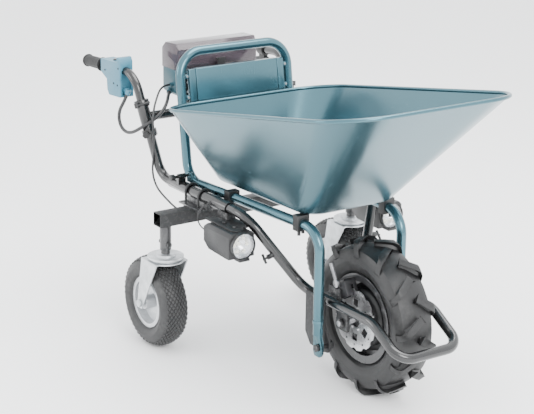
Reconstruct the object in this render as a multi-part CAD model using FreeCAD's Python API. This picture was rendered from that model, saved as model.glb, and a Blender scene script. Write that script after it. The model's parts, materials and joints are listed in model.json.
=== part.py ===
import FreeCAD, Part
import math
import os

V = FreeCAD.Vector
os.makedirs("parts", exist_ok=True)

# A battery-powered wheelbarrow. While it is drawn, x = 0 is the front axle, +X points forward,
# +Z is up and z = 0 is the ground; at the end everything moves so that the middle of the
# footprint is the origin. "Right" is the -Y side. All sizes are millimetres.

# ---------------------------------------------------------------- driving dimensions
TUBE_R = 13.6            # bent tubes of the chassis and of the tub frame
TUBE_WALL = 2.0
FIT = 0.1                # radial gap of pieces that are pressed or clamped together
RUN = 0.08               # radial gap of pieces that turn or slide in each other
AIR = 0.3                # gap between curved faces that only lie side by side

WHEEL_R = 210.0          # front drive wheel, over the lugs
TYRE_W = 108.0
BEAD_R = 104.0
FLANGE_R = 121.0
RIM_W = 86.0
LUG_PAIRS = 12
LUG_HEIGHT = 15.0
AXLE_R = 8.0
MOTOR_R = 78.0
MOTOR_W = 72.0
ROTOR_R = 84.0
ROTOR_T = 3.0
ROTOR_Y = -57.0

SLEEVE_R = 17.0          # frame sleeves that join chassis and handles
FRAME_Y = 214.5          # half spacing of the rear part of the chassis
FRAME_Z = 443.0
NOSE_Y = 98.0            # half spacing beside the drive wheel
NOSE_Z = 252.0
LOOP_X = 240.0           # bumper loop in front of the wheel
LOOP_Z = 186.0
FRAME_BENDS = [80, 60, 70, 45, 45, 70, 60, 80]
DROPOUT_T = 8.0          # axle plates
PLATE_T = 6.0            # pivot plates
CALIPER_ANGLE = 30.0     # tilt of the caliper from straight above the axle, towards the rear
ARM_PIVOT = V(-50, 0, 300)
CALIPER_TAB_Y = ROTOR_Y - 22.1

CASTER_X = -527.0        # rear casters: swivel axis
CASTER_Y = 321.0
CASTER_R = 131.0
CASTER_W = 84.0
CASTER_BEAD_R = 66.0
TRAIL = 57.0
BEAM = 38.5              # square cross beam that carries the casters
BEAM_WALL = 3.0
BEAM_TOP = 408.0
BEAM_END = 348.0
HEAD_Z = 277.0           # underside of the fixed caster disc
SOCKET_R = 16.0
STEM_R = 12.9
KING_R = 9.0
SADDLE_T = 5.0           # saddles and U-bolts that hold the beam under the chassis
SADDLE_X = (-560.0, -494.0)
U_BOLT_R = 3.5
REST_X = -527.0

PIVOT = V(-50, 0, 131)   # axis on which the tub tips forward
PIVOT_R = 6.0
LEG_X = -58.0
LEG_Y = 135.0
RAIL_Z = 452.0
ARCH_Y = 182.0
ARCH_FOOT_X = -633.0
ARCH_TOP = V(-684, 0, 809)
TUB_FRAME_BENDS = [62, 60, 70, 70, 60, 62]
LOCK_X = -611.0          # spring pin that holds the tub down
LOCK_Z = 473.0

TUB_WALL = 2.0
TUB_REAR = -640.0        # rim outline seen from above
TUB_FRONT = 250.0
TUB_HALF_W = 289.0
TUB_RIM_Z = 669.75       # height of the rim at the rear edge
TUB_RIM_SLOPE = 0.175
FLOOR_REAR = -560.0      # flat floor of the tub
FLOOR_FRONT = -95.0
FLOOR_HALF_W = 148.0
FLOOR_Z = 467.5
FLOOR_SLOPE = 0.024
RIM_BEAD_R = 5.5

HANDLE_FOOT = V(-728, -FRAME_Y, FRAME_Z)   # right handle: corner at the bottom of the riser
HANDLE_HEAD = V(-802, -260, 737)           # corner below the grip
GRIP_END_X = -1077.0
GRIP_DROP = 13.0
UPPER_R = 12.5                        # sliding upper handle
GRIP_R = 17.0
GRIP_L = 96.0
COLLAR_LOW_Z = 556.0                  # heights of the clamp sleeve on the riser
COLLAR_TOP_Z = 662.0
CROSSBAR_Z = 614.0

BOX_X0, BOX_X1 = -855.0, -767.0       # battery box
BOX_HALF_W = 132.0
BOX_Z0, BOX_Z1 = 657.0, 734.0
LID_TOP = 812.0
LATCH_OPEN = 8.0         # degrees by which the lid latch stands off its catch
BOX_WALL = 3.0

LAMP_X = -252.0                       # headlights: front face of the housing
LAMP_Y = 250.0
LAMP_Z = 377.0
LAMP_SIZE = V(125, 80, 70)
LAMP_R = 37.0
LAMP_BOLT_X = (LAMP_X - LAMP_SIZE.x + 40, LAMP_X - 34)

CONDUIT_R = 5.0
MOTOR_CABLE_R = 3.0
BRAKE_CABLE_R = 2.5
LAMP_LEAD_R = 2.0
# centre lines of the cords: each bend is rounded by soft_rod
CONDUIT = [V(-831, -266, 671), V(-841, -272, 646), V(-861, -276, 618), V(-863, -277, 589),
           V(-845, -277, 567), V(-814, -276, 561), V(-780, -274, 571), V(-749, -265, 591),
           V(-729, -240, 612), V(-731, -209, 631), V(-755, -179, 649), V(-783, -158, 662),
           V(-805, -142, 667)]
MOTOR_CABLE = [V(-800, -142, 690), V(-797, -160, 691), V(-785, -184, 685), V(-762, -208, 668),
               V(-738, -232, 645), V(-719, -247, 618), V(-711, -250, 588), V(-716, -246, 556),
               V(-725, -241, 525), V(-733, -239, 494), V(-738, -239, 464), V(-730, -239, 437),
               V(-708, -241, 418), V(-678, -243, 407), V(-644, -246, 400), V(-612, -249, 394),
               V(-587, -251, 391), V(-567, -252, 390), V(-549.3, -252, 390)]
BRAKE_CABLE = [V(-888, 260.4, 707), V(-866, 260.4, 707), V(-836, 263, 705), V(-808, 270, 692),
               V(-786, 276, 668), V(-772, 276, 638), V(-764, 273, 606), V(-757, 268, 574),
               V(-751, 260, 542), V(-748, 250, 512), V(-745, 239, 486)]
LAMP_LEAD = [V(-440, -236, 441), V(-446, -247, 434), V(-455, -255, 421), V(-459, -259, 405),
             V(-453, -261, 390), V(-437, -262, 380), V(-417, -261, 376), V(-397, -260, 375),
             V(-381, -260, 375)]

Y_AXIS = V(0, 1, 0)
Z_AXIS = V(0, 0, 1)
AXLE = V(0, 0, WHEEL_R)
parts = {}


# ---------------------------------------------------------------- shape helpers
def box(x0, x1, y0, y1, z0, z1):
    low = V(min(x0, x1), min(y0, y1), min(z0, z1))
    return Part.makeBox(abs(x1 - x0), abs(y1 - y0), abs(z1 - z0), low)


def bar(start, end, radius):
    """Round bar between two points."""
    return Part.makeCylinder(radius, (end - start).Length, start, end - start)


def ring(start, end, outer, inner):
    return bar(start, end, outer).cut(bar(start, end, inner))


def rod(points, bends, radius):
    """Round rod along straight runs joined by tangent arcs, one bend radius per inner point."""
    pieces = []
    start = points[0]
    for before, corner, after, bend in zip(points, points[1:], points[2:], bends):
        into = (corner - before).normalize()
        out = (after - corner).normalize()
        turn = into.getAngle(out)
        reach = bend * math.tan(turn / 2)
        arc_start = corner - into * reach
        axis = into.cross(out).normalize()
        centre = arc_start + axis.cross(into) * bend
        pieces.append(bar(start, arc_start, radius))
        disc = Part.Face(Part.Wire(Part.makeCircle(radius, arc_start, into)))
        pieces.append(disc.revolve(centre, axis, math.degrees(turn)))
        start = corner + out * reach
    pieces.append(bar(start, points[-1], radius))
    return pieces[0].multiFuse(pieces[1:]) if len(pieces) > 1 else pieces[0]


def pipe(points, bends, outer, wall):
    return rod(points, bends, outer).cut(rod(points, bends, outer - wall))


def soft_rod(points, radius):
    """Cord: each arc takes 0.45 of the shorter run beside it, so the bends stay wide."""
    bends = []
    for before, corner, after in zip(points, points[1:], points[2:]):
        shorter = min((corner - before).Length, (after - corner).Length)
        half_turn = (corner - before).getAngle(after - corner) / 2
        bends.append(0.45 * shorter / math.tan(half_turn))
    print("cord radius", radius, "bends", [round(bend) for bend in bends])
    return rod(points, bends, radius)


def gland(cord, at_start, radius, length):
    """Round boss whose end face meets the end face of a cord, in line with the cord's first run."""
    tip, neighbour = (cord[0], cord[1]) if at_start else (cord[-1], cord[-2])
    return bar(tip, tip + (tip - neighbour).normalize() * length, radius)


def outside_piece(shape, tool):
    """The largest piece that is left when a tube is cut from a boss that stands on it."""
    return max(shape.cut(tool).Solids, key=lambda solid: solid.Volume)


def polygon(points):
    return Part.Face(Part.makePolygon(points + [points[0]]))


def plate_y(outline, y0, y1):
    """Flat plate from its side outline (x, z), between two y."""
    return polygon([V(x, y0, z) for x, z in outline]).extrude(V(0, y1 - y0, 0))


def turned(profile, centre):
    """Solid of revolution about the Y axis through centre; profile points are (y, radius)."""
    face = polygon([centre + V(0, y, r) for y, r in profile])
    return face.revolve(centre, Y_AXIS, 360)


def wheel_section(half_w, tread_half, crown_r, bead_r, flange_r, wall, centre):
    """Tyre carcass: bulged side walls and a slightly crowned tread, open towards the rim."""
    def line(a, b):
        return Part.makeLine(a, b)

    def arc(a, b, c):
        return Part.Arc(a, b, c).toShape()

    def skin(side, shoulder, crown, bulge, seat):
        mid_r = (flange_r + shoulder) / 2
        return [centre + V(0, y, r) for y, r in (
            (-seat, bead_r), (-seat, flange_r), (-bulge, mid_r), (-side, shoulder), (0, crown),
            (side, shoulder), (bulge, mid_r), (seat, flange_r), (seat, bead_r))]

    seat = half_w * 0.69
    outer = skin(tread_half, crown_r - 8, crown_r, half_w, seat)
    inner = skin(tread_half - wall, crown_r - 8 - wall, crown_r - wall, half_w - wall, seat - wall)
    edges = []
    for skin_points in (outer, inner):
        edges += [line(skin_points[0], skin_points[1]),
                  arc(skin_points[1], skin_points[2], skin_points[3]),
                  arc(skin_points[3], skin_points[4], skin_points[5]),
                  arc(skin_points[5], skin_points[6], skin_points[7]),
                  line(skin_points[7], skin_points[8])]
    edges += [line(outer[0], inner[0]), line(outer[8], inner[8])]
    face = Part.Face(Part.Wire(Part.__sortEdges__(edges)))
    return face.revolve(centre, Y_AXIS, 360)


def rounded_outline(x0, x1, half_w, rear_r, front_r):
    """Closed outline in the XY plane: rear edge at x0, front edge at x1, rounded corners."""
    k = math.sqrt(0.5)
    edges = []
    corners = [(x1, half_w, front_r, 1, 1), (x0, half_w, rear_r, -1, 1),
               (x0, -half_w, rear_r, -1, -1), (x1, -half_w, front_r, 1, -1)]
    stops = []
    for x, y, r, sx, sy in corners:
        centre = V(x - sx * r, y - sy * r, 0)
        on_side = centre + V(0, sy * r, 0)
        on_end = centre + V(sx * r, 0, 0)
        middle = centre + V(sx * r * k, sy * r * k, 0)
        first, last = (on_end, on_side) if sx == sy else (on_side, on_end)
        stops.append((first, middle, last))
    for (first, middle, last), following in zip(stops, stops[1:] + stops[:1]):
        edges.append(Part.Arc(first, middle, last).toShape())
        edges.append(Part.makeLine(last, following[0]))
    return Part.Wire(edges)


def mirrored(shape):
    return shape.mirror(V(0, 0, 0), Y_AXIS)


def pair(shape):
    return Part.makeCompound([shape, mirrored(shape)])


def joined(*shapes):
    return shapes[0].multiFuse(list(shapes[1:])).removeSplitter()


def group(*shapes):
    return Part.makeCompound(list(shapes))


def add(name, shape):
    parts[name] = shape


def add_both_sides(name, right_shape):
    add(name + "_right", right_shape)
    add(name + "_left", mirrored(right_shape))


def bolt(head_end, direction, shank_r, shank_l, head_r, head_h):
    """Hexagon bolt: the head starts at head_end and the shank runs along direction."""
    direction = V(direction).normalize()
    side = Y_AXIS if abs(direction.y) < 0.9 else V(1, 0, 0)
    across = direction.cross(side).normalize()
    up = across.cross(direction)
    corners = []
    for i in range(6):
        angle = math.radians(60 * i)
        corners.append(head_end + across * (head_r * math.cos(angle)) + up * (head_r * math.sin(angle)))
    head = polygon(corners).extrude(direction * head_h)
    neck = head_end + direction * head_h
    return head.fuse(bar(neck, neck + direction * shank_l, shank_r))


def nut(start, direction, bore_r, radius, height):
    """Hexagon nut with a clear hole, from start along direction."""
    blank = bolt(start, direction, bore_r, 1, radius, height)
    direction = V(direction).normalize()
    return blank.cut(bar(start - direction, start + direction * (height + 2), bore_r))


# ---------------------------------------------------------------- chassis frame
def frame_points():
    """Centre line of the one bent tube, from the right rear end round the loop to the left."""
    right = [V(-640, -FRAME_Y, FRAME_Z), V(-282, -FRAME_Y, FRAME_Z), V(-180, -NOSE_Y, NOSE_Z),
             V(124, -NOSE_Y, NOSE_Z), V(LOOP_X, -NOSE_Y, LOOP_Z)]
    left = [V(p.x, -p.y, p.z) for p in reversed(right)]
    return right + left


def rail_y(x):
    """Half spacing of the tub rails, which spread towards the rear."""
    return LEG_Y + (ARCH_Y - LEG_Y) * (LEG_X - x) / (LEG_X - ARCH_FOOT_X)


def build_frame():
    tube_solid = rod(frame_points(), FRAME_BENDS, TUBE_R)
    bore = rod(frame_points(), FRAME_BENDS, TUBE_R - TUBE_WALL)
    frame = tube_solid.cut(bore)
    add("main_frame", frame)

    sleeve_bore = TUBE_R + FIT
    sleeve = ring(V(-668, -FRAME_Y, FRAME_Z), V(-366, -FRAME_Y, FRAME_Z), SLEEVE_R, sleeve_bore)
    lock_y0, lock_y1 = -FRAME_Y - 16, -FRAME_Y + 8
    barrel = ring(V(LOCK_X, lock_y0, LOCK_Z), V(LOCK_X, lock_y1, LOCK_Z), 8, 4 + RUN)
    foot = box(LOCK_X - 6, LOCK_X + 6, lock_y0, lock_y1, FRAME_Z, LOCK_Z)
    foot = foot.cut(bar(V(-700, -FRAME_Y, FRAME_Z), V(-300, -FRAME_Y, FRAME_Z), SLEEVE_R + FIT))
    foot = foot.cut(bar(V(LOCK_X, -300, LOCK_Z), V(LOCK_X, -150, LOCK_Z), 6))
    add("frame_sleeves", group(sleeve, mirrored(sleeve), joined(barrel, foot)))

    pivot_outline = [(-145, NOSE_Z + 6), (-145, 144), (-122, 112), (-60, 110), (-40, 114),
                     (-31, 131), (-40, 152), (-62, 190), (-62, NOSE_Z + 6)]
    plate = plate_y(pivot_outline, -(LEG_Y - 21), -(LEG_Y - 21) + PLATE_T)
    plate = plate.cut(bar(V(PIVOT.x, -200, PIVOT.z), V(PIVOT.x, 0, PIVOT.z), PIVOT_R + FIT))
    dropout = box(-24, 24, -NOSE_Y - DROPOUT_T / 2, -NOSE_Y + DROPOUT_T / 2, 190, NOSE_Z)
    dropout = dropout.cut(bar(V(0, -200, WHEEL_R), V(0, 0, WHEEL_R), AXLE_R + FIT))
    plates = [shape.cut(tube_solid) for shape in (plate, dropout)]
    add("frame_plates", group(*(plates + [mirrored(shape) for shape in plates] + [caliper_bracket()])))

    beam_bottom = BEAM_TOP - BEAM
    half = BEAM / 2
    beam = box(CASTER_X - half, CASTER_X + half, -BEAM_END, BEAM_END, beam_bottom, BEAM_TOP)
    inside = half - BEAM_WALL
    beam = beam.cut(box(CASTER_X - inside, CASTER_X + inside, -BEAM_END - 1, BEAM_END + 1,
                        beam_bottom + BEAM_WALL, BEAM_TOP - BEAM_WALL))
    add("cross_beam", beam)

    sleeve_bottom = FRAME_Z - SLEEVE_R
    leg_gap = SLEEVE_R + U_BOLT_R + FIT
    saddle = joined(box(SADDLE_X[0] - 20, SADDLE_X[1] + 20, -FRAME_Y - 32, -FRAME_Y + 27,
                        BEAM_TOP, BEAM_TOP + SADDLE_T),
                    box(SADDLE_X[0] - 20, SADDLE_X[1] + 20, -FRAME_Y - 6, -FRAME_Y + 6,
                        BEAM_TOP + SADDLE_T - 1, sleeve_bottom + 6))
    saddle = saddle.cut(bar(V(-700, -FRAME_Y, FRAME_Z), V(-300, -FRAME_Y, FRAME_Z), SLEEVE_R + FIT))
    u_bolts = []
    for x in SADDLE_X:
        sides = (-FRAME_Y - leg_gap, -FRAME_Y + leg_gap)
        top = FRAME_Z + leg_gap
        bottom = BEAM_TOP - 12
        u_bolts.append(rod([V(x, sides[0], bottom), V(x, sides[0], top), V(x, sides[1], top),
                            V(x, sides[1], bottom)], [leg_gap * 0.96] * 2, U_BOLT_R))
        for y in sides:
            saddle = saddle.cut(bar(V(x, y, BEAM_TOP - 1), V(x, y, BEAM_TOP + 9), U_BOLT_R + FIT))
            u_bolts.append(nut(V(x, y, BEAM_TOP - 8.5), Z_AXIS, U_BOLT_R + FIT, 6.6, 8.4))
    pad_y = rail_y(REST_X)
    pad = box(REST_X - 17, REST_X + 17, -pad_y - 10, -pad_y + 10, BEAM_TOP, RAIL_Z - TUBE_R - AIR)
    add("beam_saddles", pair(group(saddle, pad)))

    socket = ring(V(CASTER_X, -CASTER_Y, 300), V(CASTER_X, -CASTER_Y, beam_bottom),
                  SOCKET_R, STEM_R + FIT)
    cross = bar(V(CASTER_X - 40, -CASTER_Y, 317), V(CASTER_X + 40, -CASTER_Y, 317), 4 + FIT)
    head = joined(bar(V(CASTER_X, -CASTER_Y, HEAD_Z), V(CASTER_X, -CASTER_Y, HEAD_Z + 5), 51),
                  bar(V(CASTER_X, -CASTER_Y, HEAD_Z + 5), V(CASTER_X, -CASTER_Y, HEAD_Z + 11), 30),
                  bar(V(CASTER_X, -CASTER_Y, HEAD_Z + 11), V(CASTER_X, -CASTER_Y, 362), STEM_R),
                  bar(V(CASTER_X, -CASTER_Y, HEAD_Z - 18), V(CASTER_X, -CASTER_Y, HEAD_Z), KING_R))
    add("caster_mounts", pair(group(socket.cut(cross), head.cut(cross))))

    stem_bolt = group(bolt(V(CASTER_X - 26, -CASTER_Y, 317), V(1, 0, 0), 4, 44, 7.5, 6),
                      nut(V(CASTER_X + SOCKET_R + 0.3, -CASTER_Y, 317), V(1, 0, 0), 4 + FIT, 7.5, 7))
    pivot_head = V(PIVOT.x, -LEG_Y - 13, PIVOT.z)
    pivot_bolt = group(bolt(pivot_head, Y_AXIS, PIVOT_R, 48, 11, 7),
                       nut(V(PIVOT.x, -107.5, PIVOT.z), Y_AXIS, PIVOT_R + FIT, 13, 12))
    axle_nut = nut(V(0, -NOSE_Y - DROPOUT_T / 2 - 0.3, WHEEL_R), V(0, -1, 0), AXLE_R + FIT, 13.5, 9)
    clip = joined(bar(V(-228, -166, 342), V(-228, -182, 338), 7),
                  bar(V(-228, -182, 338), V(-228, -196, 334), 3),
                  bar(V(-238, -192, 345), V(-220, -192, 325), 3.5))
    clip = clip.cut(rod(frame_points(), FRAME_BENDS, TUBE_R + FIT))
    right = group(*(u_bolts + [stem_bolt, pivot_bolt, axle_nut, clip] + headlight_bolts()))
    add("frame_fasteners", pair(right))


# ---------------------------------------------------------------- drive wheel
def build_drive_wheel():
    crown = WHEEL_R - LUG_HEIGHT
    half = TYRE_W / 2
    carcass = wheel_section(half, half - 7, crown, BEAD_R, FLANGE_R + 1, 9, AXLE)
    envelope = turned([(0, crown - 12), (half - 8, crown - 24), (half - 2, crown - 36),
                       (half + 1, crown - 30), (half - 3, WHEEL_R - 8), (half - 12, WHEEL_R),
                       (0, WHEEL_R)], AXLE)
    tread_bar = box(-8, 8, -2, half + 26, WHEEL_R - 50, WHEEL_R + 10)
    tread_bar.rotate(V(0, 0, 0), Z_AXIS, -36)
    tread_bar.translate(AXLE)
    lug = tread_bar.common(envelope)
    lugs = []
    for i in range(LUG_PAIRS):
        left_lug = lug.copy()
        left_lug.rotate(AXLE, Y_AXIS, 360.0 / LUG_PAIRS * i)
        right_lug = mirrored(lug)
        right_lug.rotate(AXLE, Y_AXIS, 360.0 / LUG_PAIRS * (i + 0.5))
        lugs += [left_lug, right_lug]
    cavity = turned([(-half, BEAD_R), (-half, crown - 40), (half, crown - 40), (half, BEAD_R)], AXLE)
    clean_lugs = [one.cut(cavity) for one in lugs]
    add("front_tyre", carcass.multiFuse(clean_lugs))

    seat = BEAD_R - 2 * FIT
    w = RIM_W / 2
    lip = w - 5
    add("front_rim", turned([
        (-w, FLANGE_R), (-lip, FLANGE_R), (-lip, seat), (-20, seat), (-14, seat - 10),
        (14, seat - 10), (20, seat), (lip, seat), (lip, FLANGE_R), (w, FLANGE_R),
        (w, FLANGE_R - 3), (w - 2, seat - 3), (21, seat - 3), (15, seat - 13),
        (-15, seat - 13), (-21, seat - 3), (-w + 2, seat - 3), (-w, FLANGE_R - 3)], AXLE))

    web_r = seat - 13 - FIT
    m = MOTOR_W / 2
    boss_end = -ROTOR_Y - ROTOR_T / 2
    case = turned([
        (-boss_end, AXLE_R + 9), (-boss_end, 31), (-m - 4, 36), (-m, MOTOR_R - 8), (-m + 8, MOTOR_R),
        (-13, MOTOR_R), (-13, web_r), (13, web_r), (13, MOTOR_R), (m - 8, MOTOR_R),
        (m, MOTOR_R - 8), (m + 4, 34), (m + 12, 26), (m + 12, AXLE_R + 9),
        (m - 4, AXLE_R + 9), (m - 4, MOTOR_R - 8), (-m + 4, MOTOR_R - 8), (-m + 4, AXLE_R + 9)], AXLE)
    bearings = [
        ring(AXLE + V(0, -boss_end, 0), AXLE + V(0, -m + 5, 0), AXLE_R + 9 - FIT, AXLE_R + RUN),
        ring(AXLE + V(0, m - 5, 0), AXLE + V(0, m + 12, 0), AXLE_R + 9 - FIT, AXLE_R + RUN)]
    add("hub_motor_case", group(case, *bearings))

    stator = ring(AXLE + V(0, -22, 0), AXLE + V(0, 22, 0), MOTOR_R - 12, AXLE_R + FIT)
    for i in range(18):
        slot = box(-3, 3, -23, 23, 42, MOTOR_R)
        slot.rotate(V(0, 0, 0), Y_AXIS, 20 * i)
        slot.translate(AXLE)
        stator = stator.cut(slot)
    add("motor_stator", stator)
    axle_end = NOSE_Y + DROPOUT_T / 2 + 11
    axle = bar(AXLE + V(0, -axle_end, 0), AXLE + V(0, axle_end, 0), AXLE_R)
    add("front_axle", axle)

    rotor = bar(AXLE + V(0, ROTOR_Y - ROTOR_T / 2, 0), AXLE + V(0, ROTOR_Y + ROTOR_T / 2, 0), ROTOR_R)
    waves = 12
    tools = [bar(AXLE + V(0, -80, 0), AXLE + V(0, -30, 0), AXLE_R + 12)]
    for i in range(waves):
        angle = math.radians(360.0 / waves * i)
        out = V(math.cos(angle), 0, math.sin(angle))
        edge = AXLE + out * (ROTOR_R + 9)
        tools.append(bar(edge + V(0, -80, 0), edge + V(0, -30, 0), 14))
        vent = AXLE + out * (ROTOR_R - 15)
        tools.append(bar(vent + V(0, -80, 0), vent + V(0, -30, 0), 3))
    for i in range(6):
        window = box(-11, 11, -80, -30, 38, 58)
        window.rotate(V(0, 0, 0), Y_AXIS, 60 * i)
        window.translate(AXLE)
        tools.append(window)
    bolts = []
    for i in range(6):
        angle = math.radians(60 * i)
        seat_point = AXLE + V(26 * math.cos(angle), ROTOR_Y - ROTOR_T / 2 - 3.2, 26 * math.sin(angle))
        bolts.append(bolt(seat_point, Y_AXIS, 2.4, 3, 4.5, 3))
    rotor = rotor.cut(tools[0].multiFuse(tools[1:]))
    rotor = rotor.cut(bolts[0].multiFuse(bolts[1:]))
    add("brake_rotor", group(rotor, *bolts))


# ---------------------------------------------------------------- brake
def caliper_bracket():
    """Plate on the right frame tube that the caliper is bolted to."""
    bracket = joined(box(-84, -34, CALIPER_TAB_Y - 5, CALIPER_TAB_Y, NOSE_Z - 2, 288),
                     box(-84, -34, -NOSE_Y, CALIPER_TAB_Y, NOSE_Z + 4, NOSE_Z + 16))
    bracket = bracket.cut(rod(frame_points(), FRAME_BENDS, TUBE_R))
    return bracket.cut(bar(V(ARM_PIVOT.x, -100, ARM_PIVOT.z), V(ARM_PIVOT.x, -60, ARM_PIVOT.z), 15))


def build_brake():
    slot_half = ROTOR_T / 2 + 1.5
    body = box(-30, 30, ROTOR_Y - 22, ROTOR_Y + 14, 62, 108)
    body = body.makeChamfer(6, [edge for edge in body.Edges if edge.BoundBox.ZMin > 107])
    body = body.cut(box(-40, 40, ROTOR_Y - slot_half, ROTOR_Y + slot_half, 50, ROTOR_R + 6))
    pocket = box(-14, 14, ROTOR_Y - slot_half - 5, ROTOR_Y + slot_half + 5, 50, ROTOR_R + 2)
    body = body.cut(pocket)
    pads = []
    for side in (-1, 1):
        near = ROTOR_Y + side * (ROTOR_T / 2 + 0.5)
        far = ROTOR_Y + side * (slot_half + 4.8)
        pads.append(box(-13.8, 13.8, near, far, 60, ROTOR_R + 1.8))
    for shape in [body] + pads:
        shape.rotate(V(0, 0, 0), Y_AXIS, -CALIPER_ANGLE)
        shape.translate(AXLE)
    pin_hole = bar(V(ARM_PIVOT.x, ROTOR_Y - 23, ARM_PIVOT.z), V(ARM_PIVOT.x, ROTOR_Y - 12, ARM_PIVOT.z),
                   4 + RUN)
    add("brake_caliper", group(body.cut(pin_hole), *pads))
    arm_y = CALIPER_TAB_Y - 0.4
    hub = bar(V(ARM_PIVOT.x, arm_y, ARM_PIVOT.z), V(ARM_PIVOT.x, arm_y - 8, ARM_PIVOT.z), 11)
    lever = plate_y([(-56, 300), (-44, 300), (-72, 350), (-84, 346)], arm_y - 6, arm_y - 1)
    pin = bar(V(ARM_PIVOT.x, arm_y, ARM_PIVOT.z), V(ARM_PIVOT.x, arm_y + 9, ARM_PIVOT.z), 4)
    add("caliper_arm", joined(hub, lever, pin))


# ---------------------------------------------------------------- casters
def build_casters():
    centre = V(CASTER_X - TRAIL, -CASTER_Y, CASTER_R)
    swivel = V(CASTER_X, -CASTER_Y, 0)
    half = CASTER_W / 2
    tyre = wheel_section(half, half - 13, CASTER_R, CASTER_BEAD_R, CASTER_BEAD_R + 9, 8, centre)
    add_both_sides("caster_tyre", tyre)

    seat = CASTER_BEAD_R - 2 * FIT
    hub_r = 19.0
    bore = 7.0
    w = half * 0.69 + 3
    rim = turned([
        (-w, seat + 8), (-w + 2.6, seat + 8), (-w + 2.6, seat), (w - 2.6, seat), (w - 2.6, seat + 8),
        (w, seat + 8), (w, seat - 3), (6, seat - 4), (6, hub_r), (half - 2, hub_r), (half - 2, bore + 5),
        (-half + 2, bore + 5), (-half + 2, hub_r), (-6, hub_r), (-6, seat - 4), (-w, seat - 3)], centre)
    for i in range(3):
        angle = math.radians(120 * i + 90)
        spot = centre + V(41 * math.cos(angle), 0, 41 * math.sin(angle))
        rim = rim.cut(bar(spot + V(0, -60, 0), spot + V(0, 60, 0), 13))
    bearing = ring(centre + V(0, -half + 2, 0), centre + V(0, half - 2, 0), bore + 5 - FIT, bore + RUN)
    add_both_sides("caster_rim", group(rim, bearing))

    crown_top = HEAD_Z - 7
    crown = bar(V(swivel.x, swivel.y, crown_top - 4), V(swivel.x, swivel.y, crown_top), 51)
    race = bar(V(swivel.x, swivel.y, crown_top), V(swivel.x, swivel.y, HEAD_Z - AIR), 40)
    leg_in = half + 5
    leg = plate_y([(swivel.x + 34, crown_top - 4), (swivel.x - 48, crown_top - 4),
                   (centre.x - 15, centre.z), (centre.x - 8, centre.z - 15),
                   (centre.x + 8, centre.z - 15), (centre.x + 17, centre.z)],
                  swivel.y - leg_in - 4, swivel.y - leg_in)
    shoulder = box(swivel.x - 48, swivel.x + 34, swivel.y - leg_in - 4, swivel.y - leg_in + 14,
                   crown_top - 4, crown_top)
    other = V(0, 2 * swivel.y, 0)
    leg_2 = leg.mirror(V(0, 0, 0), Y_AXIS).translate(other)
    shoulder_2 = shoulder.mirror(V(0, 0, 0), Y_AXIS).translate(other)
    fork = joined(crown, race, leg, leg_2, shoulder, shoulder_2)
    king = bar(V(swivel.x, swivel.y, 250), V(swivel.x, swivel.y, 300), KING_R + RUN)
    axle_hole = bar(centre + V(0, -80, 0), centre + V(0, 80, 0), bore + FIT)
    fork = fork.cut(king).cut(axle_hole)
    axle_head = centre + V(0, -leg_in - 4 - 6.2, 0)
    axle = bolt(axle_head, Y_AXIS, bore, 2 * leg_in + 8 + 12, 12, 6)
    lock_nut = nut(centre + V(0, leg_in + 4.2, 0), Y_AXIS, bore + FIT, 12, 9)
    add_both_sides("caster_fork", fork)
    add_both_sides("caster_axle", group(axle, lock_nut))


# ---------------------------------------------------------------- tub and its frame
def tub_frame_points():
    right = [V(LEG_X, -LEG_Y, 165), V(LEG_X, -LEG_Y, RAIL_Z), V(ARCH_FOOT_X, -ARCH_Y, RAIL_Z),
             V(ARCH_TOP.x, -ARCH_Y, ARCH_TOP.z)]
    left = [V(p.x, -p.y, p.z) for p in reversed(right)]
    return right + left


def floor_z(x):
    return FLOOR_Z + FLOOR_SLOPE * (x - FLOOR_REAR)


def tub_hull(inset, lift):
    """Solid between the floor outline and the sloping rim outline, both moved in by inset."""
    floor = rounded_outline(FLOOR_REAR + inset, FLOOR_FRONT - inset, FLOOR_HALF_W - inset,
                            60 - inset, 60 - inset)
    floor.translate(V(-FLOOR_REAR, 0, 0))
    floor.rotate(V(0, 0, 0), Y_AXIS, -math.degrees(math.atan(FLOOR_SLOPE)))
    floor.translate(V(FLOOR_REAR, 0, FLOOR_Z + lift))
    slope = math.atan(TUB_RIM_SLOPE)
    length = (TUB_FRONT - TUB_REAR) / math.cos(slope)
    rim = rounded_outline(inset, length - inset, TUB_HALF_W - inset, 125 - inset, 137 - inset)
    rim.rotate(V(0, 0, 0), Y_AXIS, -math.degrees(slope))
    rim.translate(V(TUB_REAR, 0, TUB_RIM_Z))
    return Part.makeLoft([floor, rim], True, True), rim


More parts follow.
